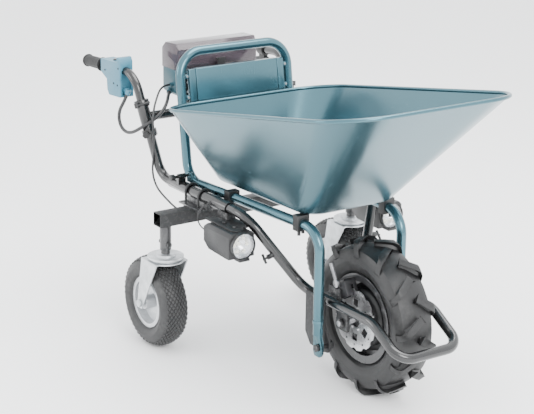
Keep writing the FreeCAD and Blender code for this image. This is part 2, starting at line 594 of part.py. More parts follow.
def build_tub():
    outer = tub_hull(0, 0)[0]
    inner = tub_hull(TUB_WALL, TUB_WALL)[0]
    bead_line = tub_hull(TUB_WALL / 2, 0)[1]
    bead_start = bead_line.Edges[0].valueAt(bead_line.Edges[0].FirstParameter)
    bead_direction = bead_line.Edges[0].tangentAt(bead_line.Edges[0].FirstParameter)
    circle = Part.Wire(Part.makeCircle(RIM_BEAD_R, bead_start, bead_direction))
    bead = bead_line.makePipeShell([circle], True, False)
    add("tub", outer.cut(inner).fuse(bead).removeSplitter())

    tube_solid = rod(tub_frame_points(), TUB_FRAME_BENDS, TUBE_R)
    frame = tube_solid.cut(rod(tub_frame_points(), TUB_FRAME_BENDS, TUBE_R - TUBE_WALL))
    tab = plate_y([(LEG_X - TUBE_R, 186), (LEG_X - TUBE_R, 118), (LEG_X - 8, 105), (LEG_X + 14, 105),
                   (LEG_X + TUBE_R + 7, 116), (LEG_X + TUBE_R + 7, 142), (LEG_X + TUBE_R, 160),
                   (LEG_X + TUBE_R, 186)], -LEG_Y - 5, -LEG_Y + 5)
    tab = tab.cut(bar(V(PIVOT.x, -200, PIVOT.z), V(PIVOT.x, 0, PIVOT.z), PIVOT_R + RUN))
    band = ring(V(LEG_X, -LEG_Y, 196), V(LEG_X, -LEG_Y, 206), TUBE_R + 1.2, TUBE_R - 1)
    lock_y = -rail_y(LOCK_X)
    lug = box(LOCK_X - 11, LOCK_X + 11, lock_y - TUBE_R - 0.4, lock_y - 6, RAIL_Z, RAIL_Z + 29)
    lug = lug.cut(bar(V(LOCK_X, -250, LOCK_Z), V(LOCK_X, -150, LOCK_Z), 4 + 4 * RUN))
    cap = bar(V(LEG_X, -LEG_Y, 165), V(LEG_X, -LEG_Y, 168), TUBE_R)
    both = []
    for shape in (tab, band, cap):
        both += [shape, mirrored(shape)]
    add("tub_frame", frame.multiFuse(both + [lug]).removeSplitter())

    lean = (ARCH_TOP.x - ARCH_FOOT_X) / (ARCH_TOP.z - RAIL_Z)
    half = ARCH_Y - TUBE_R - 8

    def face_x(z):
        return ARCH_FOOT_X + lean * (z - RAIL_Z) + 14

    z0, z1 = 664.0, 763.0
    depth = 14.0
    skin = 2.5
    outline = [(face_x(z0), z0), (face_x(z0) - depth, z0), (face_x(z1) - depth, z1), (face_x(z1), z1)]
    hollow = [(face_x(z0) - skin, z0 + skin), (face_x(z0) - depth - 1, z0 + skin),
              (face_x(z1) - depth - 1, z1 - skin), (face_x(z1) - skin, z1 - skin)]
    panel = plate_y(outline, -half, half).cut(plate_y(hollow, -half + skin, half - skin))
    tabs = []
    for z in (z0 + 14, z1 - 26):
        reach = plate_y([(face_x(z) - 3, z), (face_x(z) - 9, z), (face_x(z) - 9, z + 12),
                         (face_x(z) - 3, z + 12)], -ARCH_Y, -half + 1)
        tabs += [reach, mirrored(reach)]
    panel = panel.multiFuse(tabs).cut(rod(tub_frame_points(), TUB_FRAME_BENDS, TUBE_R + FIT))
    add("rear_panel", panel)

    clamps = []
    for x in (-135.0, -430.0):
        y = -rail_y(x)
        block = box(x - 12, x + 12, y - 18, y + 18, RAIL_Z - TUBE_R - 4, floor_z(x - 12) - 0.2)
        block = block.cut(rod(tub_frame_points(), TUB_FRAME_BENDS, TUBE_R + FIT))
        screws = [bar(V(x + dx, y + dy, RAIL_Z - TUBE_R - 16), V(x + dx, y + dy, RAIL_Z - TUBE_R - 4), 4.5)
                  for dx, dy in ((-5, 10), (5, -10))]
        clamps.append(joined(block, *screws))
    clamps += [mirrored(shape) for shape in clamps]
    add("tub_clamps", group(*clamps))


def build_lock():
    inner_end = -rail_y(LOCK_X) - TUBE_R - 2.4
    knob_end = -FRAME_Y - 28
    pin = bar(V(LOCK_X, inner_end, LOCK_Z), V(LOCK_X, knob_end, LOCK_Z), 4)
    knob = bar(V(LOCK_X, knob_end, LOCK_Z), V(LOCK_X, knob_end - 12, LOCK_Z), 9)
    add("lock_pin", joined(pin, knob))


# ---------------------------------------------------------------- handles
RISER = (HANDLE_HEAD - HANDLE_FOOT).normalize()


def on_riser(z):
    """Point of the right riser at a height."""
    return HANDLE_FOOT + RISER * ((z - HANDLE_FOOT.z) / RISER.z)


def build_handles():
    lower_inner = UPPER_R + RUN
    lower = [V(-645, -FRAME_Y, FRAME_Z), HANDLE_FOOT, on_riser(COLLAR_TOP_Z - 6)]
    lower_tube = pipe(lower, [55], TUBE_R, TUBE_R - lower_inner)
    add("lower_handles", pair(lower_tube))

    outer = SLEEVE_R + 0.5
    sleeve = bar(on_riser(COLLAR_LOW_Z), on_riser(COLLAR_TOP_Z), outer)
    low_collar = bar(on_riser(COLLAR_LOW_Z + 3), on_riser(COLLAR_LOW_Z + 22), outer + 4)
    top_collar = bar(on_riser(COLLAR_TOP_Z - 20), on_riser(COLLAR_TOP_Z - 1), outer + 4)
    bore = bar(on_riser(COLLAR_LOW_Z - 5), on_riser(COLLAR_TOP_Z + 5), TUBE_R + FIT)
    hub = on_riser(CROSSBAR_Z)
    crossbar = bar(hub, V(hub.x, -hub.y, hub.z), TUBE_R)
    crossbar_bore = bar(hub + V(0, 30, 0), V(hub.x, -hub.y - 30, hub.z), TUBE_R - TUBE_WALL)
    frame = joined(sleeve, low_collar, top_collar, mirrored(sleeve), mirrored(low_collar),
                   mirrored(top_collar), crossbar)
    frame = frame.cut(bore).cut(mirrored(bore)).cut(crossbar_bore)
    add("handle_crossbar", frame)

    # star knob whose screw tightens the lower collar
    knob_centre = on_riser(COLLAR_LOW_Z + 12)
    out = V(0.68, -0.73, 0)
    out = (out - RISER * out.dot(RISER)).normalize()
    start = knob_centre + out * (outer + 4.3)
    grip_disc = bar(start + out * 7, start + out * 17, 10)
    for i in range(6):
        around = Part.makeCylinder(3, 12, start + out * 6 + RISER * 11.5, out)
        around.rotate(knob_centre, out, 60 * i)
        grip_disc = grip_disc.cut(around)
    add_both_sides("clamp_knob", joined(bar(start, start + out * 8, 4), grip_disc))
    print("right knob at", start, "axis", out)

    # cam lever of the upper collar: its roll stands parallel to the riser, the arm wraps the collar
    side = RISER.cross(V(1, 0, 0)).normalize()
    ahead = side.cross(RISER).normalize()
    cam_turn = math.radians(-60)
    cam_way = ahead * math.cos(cam_turn) + side * math.sin(cam_turn)
    cam_mid = on_riser(COLLAR_TOP_Z - 10.5)
    cam = cam_mid + cam_way * (outer + 4 + 7.4)
    arm_points = [cam]
    for turn_deg in (-38, -12, 14):
        turn = math.radians(turn_deg)
        way = ahead * math.cos(turn) + side * math.sin(turn)
        arm_points.append(cam_mid + way * (outer + 4 + 6.6))
    arm = rod(arm_points, [24, 24], 3.6)
    add_both_sides("clamp_lever", joined(bar(cam - RISER * 7, cam + RISER * 7, 6.8), arm,
                                         Part.makeSphere(5.2, arm_points[-1])))
    print("right clamp lever pivot", cam)
    print("riser direction", RISER)

    head = HANDLE_HEAD
    grip_end = V(GRIP_END_X, head.y - 1, head.z - GRIP_DROP)
    back = (grip_end - head).normalize()
    upper = rod([on_riser(COLLAR_TOP_Z - 97), head, grip_end - back * 6], [62], UPPER_R)
    upper = upper.cut(rod([on_riser(COLLAR_TOP_Z - 97), head, grip_end - back * 6], [62],
                          UPPER_R - TUBE_WALL))
    add_both_sides("upper_handle", upper)
    grip = joined(bar(grip_end - back * GRIP_L, grip_end, GRIP_R),
                  bar(grip_end - back * 5, grip_end, GRIP_R + 2.5),
                  bar(grip_end - back * GRIP_L, grip_end - back * (GRIP_L - 6), GRIP_R + 4))
    grip = grip.cut(bar(grip_end - back * (GRIP_L + 2), grip_end - back * 6, UPPER_R + FIT))
    add_both_sides("grip", grip)
    build_switch_box(head, back)
    build_brake_lever(head, back)


def build_switch_box(head, back):
    """Housing on the right handle: a saddle round the tube with the control box under it."""
    y0, y1 = head.y - 21, head.y + 21
    saddle = plate_y([(-959, 716), (-959, 754), (-866, 758), (-863, 774), (-853, 774), (-846, 762),
                      (-846, 700), (-926, 700)], y0, y1)
    low_box = plate_y([(-925, 702), (-843, 706), (-843, 659), (-912, 655), (-922, 668)], y0, y1)
    housing = joined(saddle, low_box)
    edges = [edge for edge in housing.Edges if edge.BoundBox.YLength > 40 and edge.BoundBox.ZMin < 700]
    if edges:
        housing = housing.makeFillet(3, edges)
    housing = housing.cut(rod([on_riser(600), head, head + back * 300], [62], UPPER_R + FIT))
    housing = housing.cut(box(-935, -904, head.y - 9, head.y + 9, 666, 690))
    housing = housing.cut(bar(V(-905, head.y, 762), V(-905, head.y, 746), 8.5))
    housing = housing.cut(box(-852, -840, head.y - 15, head.y + 15, 664, 736))
    elbow = CONDUIT[0] + (CONDUIT[0] - CONDUIT[1]).normalize() * 10
    housing = joined(housing, gland(CONDUIT, True, CONDUIT_R + 3, 14),
                     bar(elbow, V(-853, elbow.y, elbow.z), CONDUIT_R + 2.5))
    lever_pin = V(-900, y1, 688)
    housing = housing.cut(bar(lever_pin - Y_AXIS * 4, lever_pin + Y_AXIS, 3 + RUN))
    add("switch_box", housing)
    add("direction_switch", joined(bar(lever_pin - Y_AXIS * 3.6, lever_pin + Y_AXIS * 3, 3),
                                   bar(lever_pin + Y_AXIS * 0.4, lever_pin + Y_AXIS * 5, 6),
                                   box(-903, -897, y1 + 1, y1 + 5, 668, 688)))
    trigger = box(-945, -914, head.y - 8.5, head.y + 8.5, 667, 689)
    trigger = trigger.makeFillet(4, [edge for edge in trigger.Edges if edge.BoundBox.XMax < -944])
    add("drive_trigger", trigger)
    add("light_button", bar(V(-905, head.y, 750.5), V(-905, head.y, 760), 8))


def build_brake_lever(head, back):
    """Lever under the left grip; it is drawn on the right and mirrored."""
    clamp_x = -912.0
    along = (clamp_x - head.x) / back.x
    centre = head + back * along
    bracket = joined(bar(centre - back * 14, centre + back * 14, UPPER_R + 6),
                     box(centre.x - 16, centre.x + 12, centre.y - 7, centre.y + 7, 694, centre.z - 8))
    bracket = bracket.cut(bar(centre - back * 30, centre + back * 30, UPPER_R + FIT))
    bracket = bracket.cut(box(centre.x - 17, centre.x + 2, centre.y - 3.4, centre.y + 3.4, 690, 714))
    pivot = V(centre.x - 7, centre.y, 703)
    pin = bar(pivot + V(0, -7, 0), pivot + V(0, 7, 0), 3)
    bracket = mirrored(joined(bracket, pin))
    add("brake_bracket", joined(bracket, gland(BRAKE_CABLE, True, 4.5, 14)))
    lever = joined(bar(pivot + V(0, -3, 0), pivot + V(0, 3, 0), 8),
                   plate_y([(pivot.x - 4, 697), (pivot.x - 4, 708), (-960, 700), (-1045, 678),
                            (-1046, 670), (-960, 689)], centre.y - 3, centre.y + 3))
    lever = lever.cut(bar(pivot + V(0, -7, 0), pivot + V(0, 7, 0), 3 + RUN))
    add("brake_lever", mirrored(lever))
    print("brake lever pivot", V(pivot.x, -pivot.y, pivot.z))


# ---------------------------------------------------------------- battery box
def build_battery_box():
    chamfer = 14.0
    shell = plate_y([(BOX_X0 + chamfer, BOX_Z0), (BOX_X1 - 4, BOX_Z0), (BOX_X1, BOX_Z0 + 4),
                     (BOX_X1, BOX_Z1), (BOX_X0, BOX_Z1), (BOX_X0, BOX_Z0 + chamfer)],
                    -BOX_HALF_W, BOX_HALF_W)
    shell = shell.makeChamfer(8, [edge for edge in shell.Edges
                                  if edge.BoundBox.ZMax < BOX_Z0 + 1 and edge.BoundBox.YLength < 1])
    inside = box(BOX_X0 + BOX_WALL, BOX_X1 - BOX_WALL, -BOX_HALF_W + BOX_WALL, BOX_HALF_W - BOX_WALL,
                 BOX_Z0 + chamfer + 1, BOX_Z1 + 1)
    shell = shell.cut(inside)
    divider = box(BOX_X0 + 1, BOX_X1 - 1, -1.5, 1.5, BOX_Z0 + 6, BOX_Z1 - 8)
    glands = [gland(CONDUIT, False, CONDUIT_R + 3, 30), gland(MOTOR_CABLE, True, MOTOR_CABLE_R + 3, 22)]
    glands = [boss.cut(inside) for boss in glands]
    floor = BOX_Z0 + chamfer + 1
    pack_y0, pack_y1 = -BOX_HALF_W + 10, -9
    terminal = box(-828, -796, pack_y0 + 20, pack_y1 - 20, floor, floor + 6)
    add("battery_box", group(joined(shell, divider, *glands), terminal, mirrored(terminal)))
    pack = box(BOX_X0 + 9, BOX_X1 - 8, pack_y0, pack_y1, floor + 7, floor + 62)
    top = box(BOX_X0 + 16, BOX_X1 - 22, pack_y0 + 6, pack_y1 - 6, floor + 61, floor + 74)
    pack = joined(pack, top)
    pack = pack.cut(box(-829, -795, pack_y0 + 19, pack_y1 - 19, floor + 6, floor + 12))
    add_both_sides("battery", pack)

    lid_0, lid_1 = BOX_X0 - 2, BOX_X1 + 2
    seat = BOX_Z1 + AIR
    outline = [(lid_0, seat), (lid_1, seat), (lid_1, LID_TOP - 16), (lid_1 - 12, LID_TOP),
               (lid_0 + 20, LID_TOP - 3), (lid_0, LID_TOP - 22)]
    lid = plate_y(outline, -BOX_HALF_W - 2, BOX_HALF_W + 2)
    hollow = [(lid_0 + 3, seat - 1), (lid_1 - 3, seat - 1), (lid_1 - 3, LID_TOP - 17),
              (lid_1 - 13, LID_TOP - 3), (lid_0 + 21, LID_TOP - 6), (lid_0 + 3, LID_TOP - 24)]
    lid = lid.cut(plate_y(hollow, -BOX_HALF_W + 1, BOX_HALF_W - 1))
    hinge_x, hinge_z = lid_0 - 6, seat + 1
    knuckles = []
    for y in (-70, 70):
        knuckle = bar(V(hinge_x, y - 14, hinge_z), V(hinge_x, y + 14, hinge_z), 5)
        strap = box(hinge_x, lid_0 + 2, y - 14, y + 14, hinge_z + 0.5, hinge_z + 4)
        knuckles.append(knuckle.fuse(strap))
    catch = box(lid_1 - 1, lid_1 + 4, -9, 9, 752, 757)
    lid = lid.multiFuse(knuckles + [catch])
    pin_hole = bar(V(hinge_x, -200, hinge_z), V(hinge_x, 200, hinge_z), 2 + RUN)
    add("battery_lid", lid.cut(pin_hole).removeSplitter())
    ears = []
    for y in (-70, 70):
        for dy in (-19, 14.5):
            ear = joined(bar(V(hinge_x, y + dy, hinge_z), V(hinge_x, y + dy + 4.5, hinge_z), 5),
                         box(hinge_x - 1, BOX_X0 - 0.1, y + dy, y + dy + 4.5, hinge_z - 12, hinge_z - 1))
            ears.append(ear)
        ears.append(bar(V(hinge_x, y - 18, hinge_z), V(hinge_x, y + 18, hinge_z), 2))
    hinge = ears[0].multiFuse(ears[1:])
    add("lid_hinge", hinge)

    plate_x0, plate_x1 = BOX_X1 + 0.1, BOX_X1 + 6
    upright = box(plate_x0, plate_x1, -122, 122, 640, BOX_Z1 - 8)
    shelf = box(BOX_X0 + 20, plate_x1, -110, 110, 640, BOX_Z0 - 0.1)
    shelf = shelf.cut(box(BOX_X0, plate_x0, -120, 120, 630, BOX_Z0 - 6))
    hub = on_riser(CROSSBAR_Z)
    feet = [box(hub.x - 14, hub.x + 14, y - 14, y + 14, hub.z, BOX_Z0 - 4) for y in (-85, 85)]
    bracket = joined(upright, shelf, *feet)
    bracket = bracket.cut(bar(V(hub.x, -200, hub.z), V(hub.x, 200, hub.z), TUBE_R + FIT))
    latch_x, latch_z = plate_x1 + 7, 712
    bearer = box(plate_x1 - 1, latch_x + 3, -18, -12.5, latch_z - 4, latch_z + 4)
    axis_pin = bar(V(latch_x, -18, latch_z), V(latch_x, 18, latch_z), 2)
    bracket = joined(bracket, bearer, mirrored(bearer), axis_pin)
    add("battery_bracket", bracket)
    latch = joined(bar(V(latch_x, -12, latch_z), V(latch_x, 12, latch_z), 4.5),
                   box(latch_x, latch_x + 4, -12, 12, latch_z - 10, 766),
                   box(lid_1 + 0.6, latch_x + 2, -12, 12, 758, 762))
    latch = latch.cut(bar(V(latch_x, -30, latch_z), V(latch_x, 30, latch_z), 2 + RUN))
    latch.rotate(V(latch_x, 0, latch_z), Y_AXIS, LATCH_OPEN)
    add("lid_latch", latch)
    print("lid hinge", hinge_x, hinge_z, "latch", latch_x, latch_z)


# ---------------------------------------------------------------- headlights
def headlight_bolts():
    """Two bolts that hang the right headlight under its bracket."""
    seat_z = LAMP_Z + LAMP_SIZE.z / 2 + 8.4
    return [bolt(V(x, -LAMP_Y, seat_z), V(0, 0, -1), 3, 18, 5.5, 3.8) for x in LAMP_BOLT_X]


def build_headlights():
    y = -LAMP_Y
    x0, x1 = LAMP_X - LAMP_SIZE.x, LAMP_X
    z0, z1 = LAMP_Z - LAMP_SIZE.z / 2, LAMP_Z + LAMP_SIZE.z / 2
    body = plate_y([(x0, z0 + 22), (x0 + 24, z0 + 4), (x1 - 20, z0), (x1, z0), (x1, z1), (x0 + 6, z1),
                    (x0, z1 - 6)], y - LAMP_SIZE.y / 2, y + LAMP_SIZE.y / 2)
    body = body.makeChamfer(9, [edge for edge in body.Edges
                                if edge.BoundBox.ZMin > z1 - 1 and edge.BoundBox.YLength < 1])
    hood = bar(V(x1 - 6, y, LAMP_Z), V(x1 + 12, y, LAMP_Z), LAMP_R)
    lip = box(x1 - 10, x1 + 16, y - 16, y + 16, z0 - 6, z0 + 1)
    body = joined(body, hood, lip, gland(LAMP_LEAD, False, LAMP_LEAD_R + 2.5, 8))
    body = body.cut(bar(V(x1 - 20, y, LAMP_Z), V(x1 + 13, y, LAMP_Z), LAMP_R - 3))
    for x in LAMP_BOLT_X:
        body = body.cut(bar(V(x, y, z1 - 15), V(x, y, z1 + 1), 3 + FIT))
    add("headlight_bodies", pair(body))
    face_r = LAMP_R - 3 - FIT
    add("headlight_lenses", pair(bar(V(x1 + 6, y, LAMP_Z), V(x1 + 9, y, LAMP_Z), face_r)))
    add("headlight_reflectors", pair(bar(V(x1 - 19.9, y, LAMP_Z), V(x1 - 16, y, LAMP_Z), face_r)))

    low, high = z1 + 0.2, z1 + 4.2
    block = box(x0 - 28, x0 + 20, -FRAME_Y - 14, -FRAME_Y + 14, low, FRAME_Z - SLEEVE_R + 7)
    plate = box(x0 - 28, x1 - 26, y - 20, -FRAME_Y + 14, low, high)
    nose = bar(V(x1 - 26, y, low), V(x1 - 26, y, high), 20)
    bracket = joined(block, plate, nose)
    bracket = bracket.cut(bar(V(-700, -FRAME_Y, FRAME_Z), V(-366, -FRAME_Y, FRAME_Z), SLEEVE_R + FIT))
    bracket = bracket.cut(rod(frame_points(), FRAME_BENDS, TUBE_R + 1))
    for x in LAMP_BOLT_X:
        bracket = bracket.cut(bar(V(x, y, z1 - 20), V(x, y, z1 + 8), 3 + FIT))
    add("headlight_brackets", pair(bracket))


# ---------------------------------------------------------------- cables
def build_cables():
    add("control_conduit", soft_rod(CONDUIT, CONDUIT_R))
    add("motor_cable", soft_rod(MOTOR_CABLE, MOTOR_CABLE_R))
    add("brake_cable", soft_rod(BRAKE_CABLE, BRAKE_CABLE_R))
    add("headlight_lead", soft_rod(LAMP_LEAD, LAMP_LEAD_R))

    # rubber grommets where the cords go into the tubes
    beam_grommet = gland(MOTOR_CABLE, False, MOTOR_CABLE_R + 3, CASTER_X - BEAM / 2 - MOTOR_CABLE[-1].x)
    left_riser = rod([V(-645, FRAME_Y, FRAME_Z), V(HANDLE_FOOT.x, FRAME_Y, FRAME_Z),
                      V(on_riser(COLLAR_TOP_Z).x, -on_riser(COLLAR_TOP_Z).y, COLLAR_TOP_Z)],
                     [55], TUBE_R + FIT)
    riser_grommet = outside_piece(gland(BRAKE_CABLE, False, BRAKE_CABLE_R + 3, 24), left_riser)
    sleeve = bar(V(-700, -FRAME_Y, FRAME_Z), V(-300, -FRAME_Y, FRAME_Z), SLEEVE_R + FIT)
    lead_grommet = outside_piece(gland(LAMP_LEAD, True, LAMP_LEAD_R + 2.5, 12), sleeve)
    add("cable_grommets", group(beam_grommet, riser_grommet, lead_grommet, mirrored(lead_grommet)))


build_frame()
build_drive_wheel()
build_brake()
build_casters()
build_lock()
build_tub()
build_handles()
build_battery_box()
build_headlights()
build_cables()

whole = Part.makeCompound(list(parts.values()))
bounds = whole.optimalBoundingBox()
shift = V(-(bounds.XMin + bounds.XMax) / 2, -(bounds.YMin + bounds.YMax) / 2, -bounds.ZMin)
print("shift", shift, "size", bounds.XLength, bounds.YLength, bounds.ZLength)
for name, shape in parts.items():
    moved = shape.copy()
    moved.translate(shift)
    moved.exportStep("parts/" + name + ".step")
print(len(parts), "nodes")
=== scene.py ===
import json
import math

import bmesh
import bpy
from mathutils import Matrix, Vector

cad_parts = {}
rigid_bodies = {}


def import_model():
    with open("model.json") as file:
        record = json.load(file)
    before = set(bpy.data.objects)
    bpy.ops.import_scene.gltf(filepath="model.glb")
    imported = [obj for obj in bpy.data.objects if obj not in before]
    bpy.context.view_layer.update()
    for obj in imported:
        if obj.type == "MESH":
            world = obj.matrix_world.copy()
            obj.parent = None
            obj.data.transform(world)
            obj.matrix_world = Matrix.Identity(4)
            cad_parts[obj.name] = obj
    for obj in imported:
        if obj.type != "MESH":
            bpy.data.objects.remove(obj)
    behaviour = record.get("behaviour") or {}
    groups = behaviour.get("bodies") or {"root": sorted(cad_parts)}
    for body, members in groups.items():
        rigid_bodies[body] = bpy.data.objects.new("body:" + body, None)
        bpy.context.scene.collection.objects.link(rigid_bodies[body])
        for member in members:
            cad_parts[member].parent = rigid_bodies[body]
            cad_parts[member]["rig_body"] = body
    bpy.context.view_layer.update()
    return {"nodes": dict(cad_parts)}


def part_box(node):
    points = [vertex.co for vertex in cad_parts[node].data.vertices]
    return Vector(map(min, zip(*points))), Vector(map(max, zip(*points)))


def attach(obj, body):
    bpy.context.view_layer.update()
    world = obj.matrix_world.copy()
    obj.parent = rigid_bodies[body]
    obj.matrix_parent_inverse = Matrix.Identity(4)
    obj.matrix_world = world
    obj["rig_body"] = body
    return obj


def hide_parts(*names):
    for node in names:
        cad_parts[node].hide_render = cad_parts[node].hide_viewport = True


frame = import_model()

nodes = frame["nodes"]


# ---------------------------------------------------------------- camera
# The machine is seen from its front right corner, a little above the tub, through a long lens.
def middle(node):
    low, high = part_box(node)
    return (low + high) / 2


def add_object(name, data):
    thing = bpy.data.objects.new(name, data)
    bpy.context.scene.collection.objects.link(thing)
    return thing


axle = middle("front_axle")
EYE = Vector((3.0924, -2.4504, 1.5406))     # from the middle of the front axle
AZIMUTH = math.radians(55.71)
ELEVATION = math.radians(17.55)
ROLL = math.radians(0.74)
camera = add_object("camera", bpy.data.cameras.new("camera"))
camera.data.lens = 107.72
camera.data.sensor_width = 36.0
ahead = Vector((-math.sin(AZIMUTH) * math.cos(ELEVATION), math.cos(AZIMUTH) * math.cos(ELEVATION),
                -math.sin(ELEVATION)))
level = Vector((math.cos(AZIMUTH), math.sin(AZIMUTH), 0))
above = level.cross(ahead)
camera_right = level * math.cos(ROLL) + above * math.sin(ROLL)
camera_up = above * math.cos(ROLL) - level * math.sin(ROLL)
turn = Matrix((camera_right, camera_up, -ahead)).transposed().to_4x4()
camera.matrix_world = Matrix.Translation(axle + EYE) @ turn
bpy.context.scene.camera = camera


# ---------------------------------------------------------------- studio
# A pale floor that runs out of sight, soft boxes over the front and the left, and a pale room.
def soft_box(name, place, target, width, watts):
    light = add_object(name, bpy.data.lights.new(name, "AREA"))
    light.data.shape = "DISK"
    light.data.size = width
    light.data.energy = watts
    light.location = place
    light.rotation_euler = (Vector(target) - Vector(place)).to_track_quat("-Z", "Y").to_euler()


soft_box("top_light", (0.6, 0.6, 3.4), (0, 0, 0.4), 2.6, 150)
soft_box("front_light", (3.4, -0.6, 2.2), (0, 0, 0.4), 1.8, 100)
soft_box("side_light", (-1.6, -3.2, 1.6), (-0.2, 0, 0.4), 1.6, 34)
world = bpy.data.worlds.new("studio")
bpy.context.scene.world = world
world.use_nodes = True
room_light = world.node_tree.nodes["Background"]
room_light.inputs["Color"].default_value = (0.97, 0.985, 1.0, 1)
room_light.inputs["Strength"].default_value = 2.7

floor_mesh = bpy.data.meshes.new("floor")
FLOOR = 40.0
floor_mesh.from_pydata([(-FLOOR, -FLOOR, 0), (FLOOR, -FLOOR, 0), (FLOOR, FLOOR, 0), (-FLOOR, FLOOR, 0)],
                       [], [(0, 1, 2, 3)])
floor = add_object("floor", floor_mesh)
floor_paint = bpy.data.materials.new("floor_paint")
floor_paint.use_nodes = True
floor_shader = floor_paint.node_tree.nodes["Principled BSDF"]
floor_shader.inputs["Base Color"].default_value = (0.96, 0.96, 0.96, 1)
floor_shader.inputs["Roughness"].default_value = 0.75
floor_mesh.materials.append(floor_paint)


# ---------------------------------------------------------------- cords
# Black sheathed cords: the control conduit loops from the switch box round the right riser to the
# battery box, the motor cable runs on from there into the beam, and the brake cable and the lamp
# lead go from their housings into the frame tubes. All are held by glands at both ends.
def at(x, y, z):
    """Place from millimetres forward of the front axle, to the left, and above the ground."""
    return Vector((axle.x + x / 1000, y / 1000, z / 1000))


def new_group(name, kind, inputs, outputs):
    """Node group with named inputs (label, socket type, default) and outputs (label, type)."""
    tree = bpy.data.node_groups.new(name, kind)
    for label, socket_type, default in inputs:
        socket = tree.interface.new_socket(label, in_out="INPUT", socket_type=socket_type)
        if default is not None:
            socket.default_value = default
    for label, socket_type in outputs:
        tree.interface.new_socket(label, in_out="OUTPUT", socket_type=socket_type)
    return tree, tree.nodes.new("NodeGroupInput"), tree.nodes.new("NodeGroupOutput")


def put(tree, kind, values=None, **settings):
    """A node with its settings and with values or links for its input sockets."""
    node = tree.nodes.new(kind)
    for name, value in settings.items():
        setattr(node, name, value)
    for label, value in (values or {}).items():
        if isinstance(value, bpy.types.NodeSocket):
            tree.links.new(value, node.inputs[label])
        else:
            node.inputs[label].default_value = value
    return node


def noise(tree, vector, scale, detail=2.0):
    return put(tree, "ShaderNodeTexNoise", {"Vector": vector, "Scale": scale, "Detail": detail}).outputs[0]


def spread(tree, value, low, high, to_low=0.0, to_high=1.0):
    """The value's range low to high spread over another range."""
    return put(tree, "ShaderNodeMapRange", {0: value, 1: low, 2: high, 3: to_low, 4: to_high}).outputs[0]


def maths(tree, operation, a, b):
    return put(tree, "ShaderNodeMath", {0: a, 1: b}, operation=operation).outputs[0]


def blend_colours(tree, factor, a, b, blend_type="MIX"):
    node = put(tree, "ShaderNodeMix", {0: factor, 6: a, 7: b}, data_type="RGBA", blend_type=blend_type)
    return node.outputs[2]


SURFACE_OUTPUTS = [("Color", "NodeSocketColor"), ("Roughness", "NodeSocketFloat"),
                   ("Height", "NodeSocketFloat")]


def give_geometry(tree, start, end, instances):
    """Ends a geometry tree: real copies of the instances, in the finish that the tree is given."""
    whole = put(tree, "GeometryNodeRealizeInstances", {"Geometry": instances})
    painted = put(tree, "GeometryNodeSetMaterial", {"Geometry": whole.outputs[0],
                                                    "Material": start.outputs["Finish"]})
    tree.links.new(painted.outputs[0], end.inputs["Geometry"])
    return tree


def moulded_skin():
    """Rubber and plastic from a textured mould: fine grain, dull patches and a little pale bloom."""
    tree, start, end = new_group("moulded_skin", "ShaderNodeTree", [
        ("Vector", "NodeSocketVector", None), ("Colour", "NodeSocketColor", (0.03, 0.03, 0.03, 1)),
        ("Bloom", "NodeSocketColor", (0.1, 0.1, 0.1, 1)), ("Grain size", "NodeSocketFloat", 900.0),
        ("Dullness", "NodeSocketFloat", 0.5)], SURFACE_OUTPUTS)
    place = start.outputs["Vector"]
    grain = put(tree, "ShaderNodeTexVoronoi", {"Vector": place, "Scale": start.outputs["Grain size"]})
    patches = noise(tree, place, 14.0, 4.0)
    rubbed = noise(tree, place, 90.0, 3.0)
    bloom = maths(tree, "MULTIPLY", spread(tree, patches, 0.42, 0.75), spread(tree, rubbed, 0.35, 0.7))
    colour = blend_colours(tree, bloom, start.outputs["Colour"], start.outputs["Bloom"])
    dull = maths(tree, "ADD", start.outputs["Dullness"], spread(tree, patches, 0.3, 0.7, -0.07, 0.1))
    height = maths(tree, "ADD", grain.outputs["Distance"], spread(tree, rubbed, 0, 1, 0, 0.6))
    tree.links.new(colour, end.inputs["Color"])
    tree.links.new(dull, end.inputs["Roughness"])
    tree.links.new(height, end.inputs["Height"])
    return tree


def finish(name, effect, values, bump=0.25, reach=0.0004, metallic=0.0, constants=None):
    """Material whose colour, roughness and relief come from one of the surface effects."""
    material = bpy.data.materials.new(name)
    material.use_nodes = True
    tree = material.node_tree
    shader = tree.nodes["Principled BSDF"]
    place = tree.nodes.new("ShaderNodeTexCoord")
    surface = put(tree, "ShaderNodeGroup", {}, node_tree=effect)
    tree.links.new(place.outputs["Object"], surface.inputs["Vector"])
    for label, value in values.items():
        surface.inputs[label].default_value = value
    tree.links.new(surface.outputs["Color"], shader.inputs["Base Color"])
    tree.links.new(surface.outputs["Roughness"], shader.inputs["Roughness"])
    relief = put(tree, "ShaderNodeBump", {"Strength": bump, "Distance": reach,
                                          "Height": surface.outputs["Height"]})
    tree.links.new(relief.outputs["Normal"], shader.inputs["Normal"])
    shader.inputs["Metallic"].default_value = metallic
    for label, value in (constants or {}).items():
        shader.inputs[label].default_value = value
    return material


moulded = moulded_skin()
cord_rubber = finish("cord_rubber", moulded, {
    "Colour": (0.013, 0.013, 0.014, 1), "Bloom": (0.035, 0.035, 0.036, 1), "Dullness": 0.38,
    "Grain size": 1500.0}, bump=0.12)

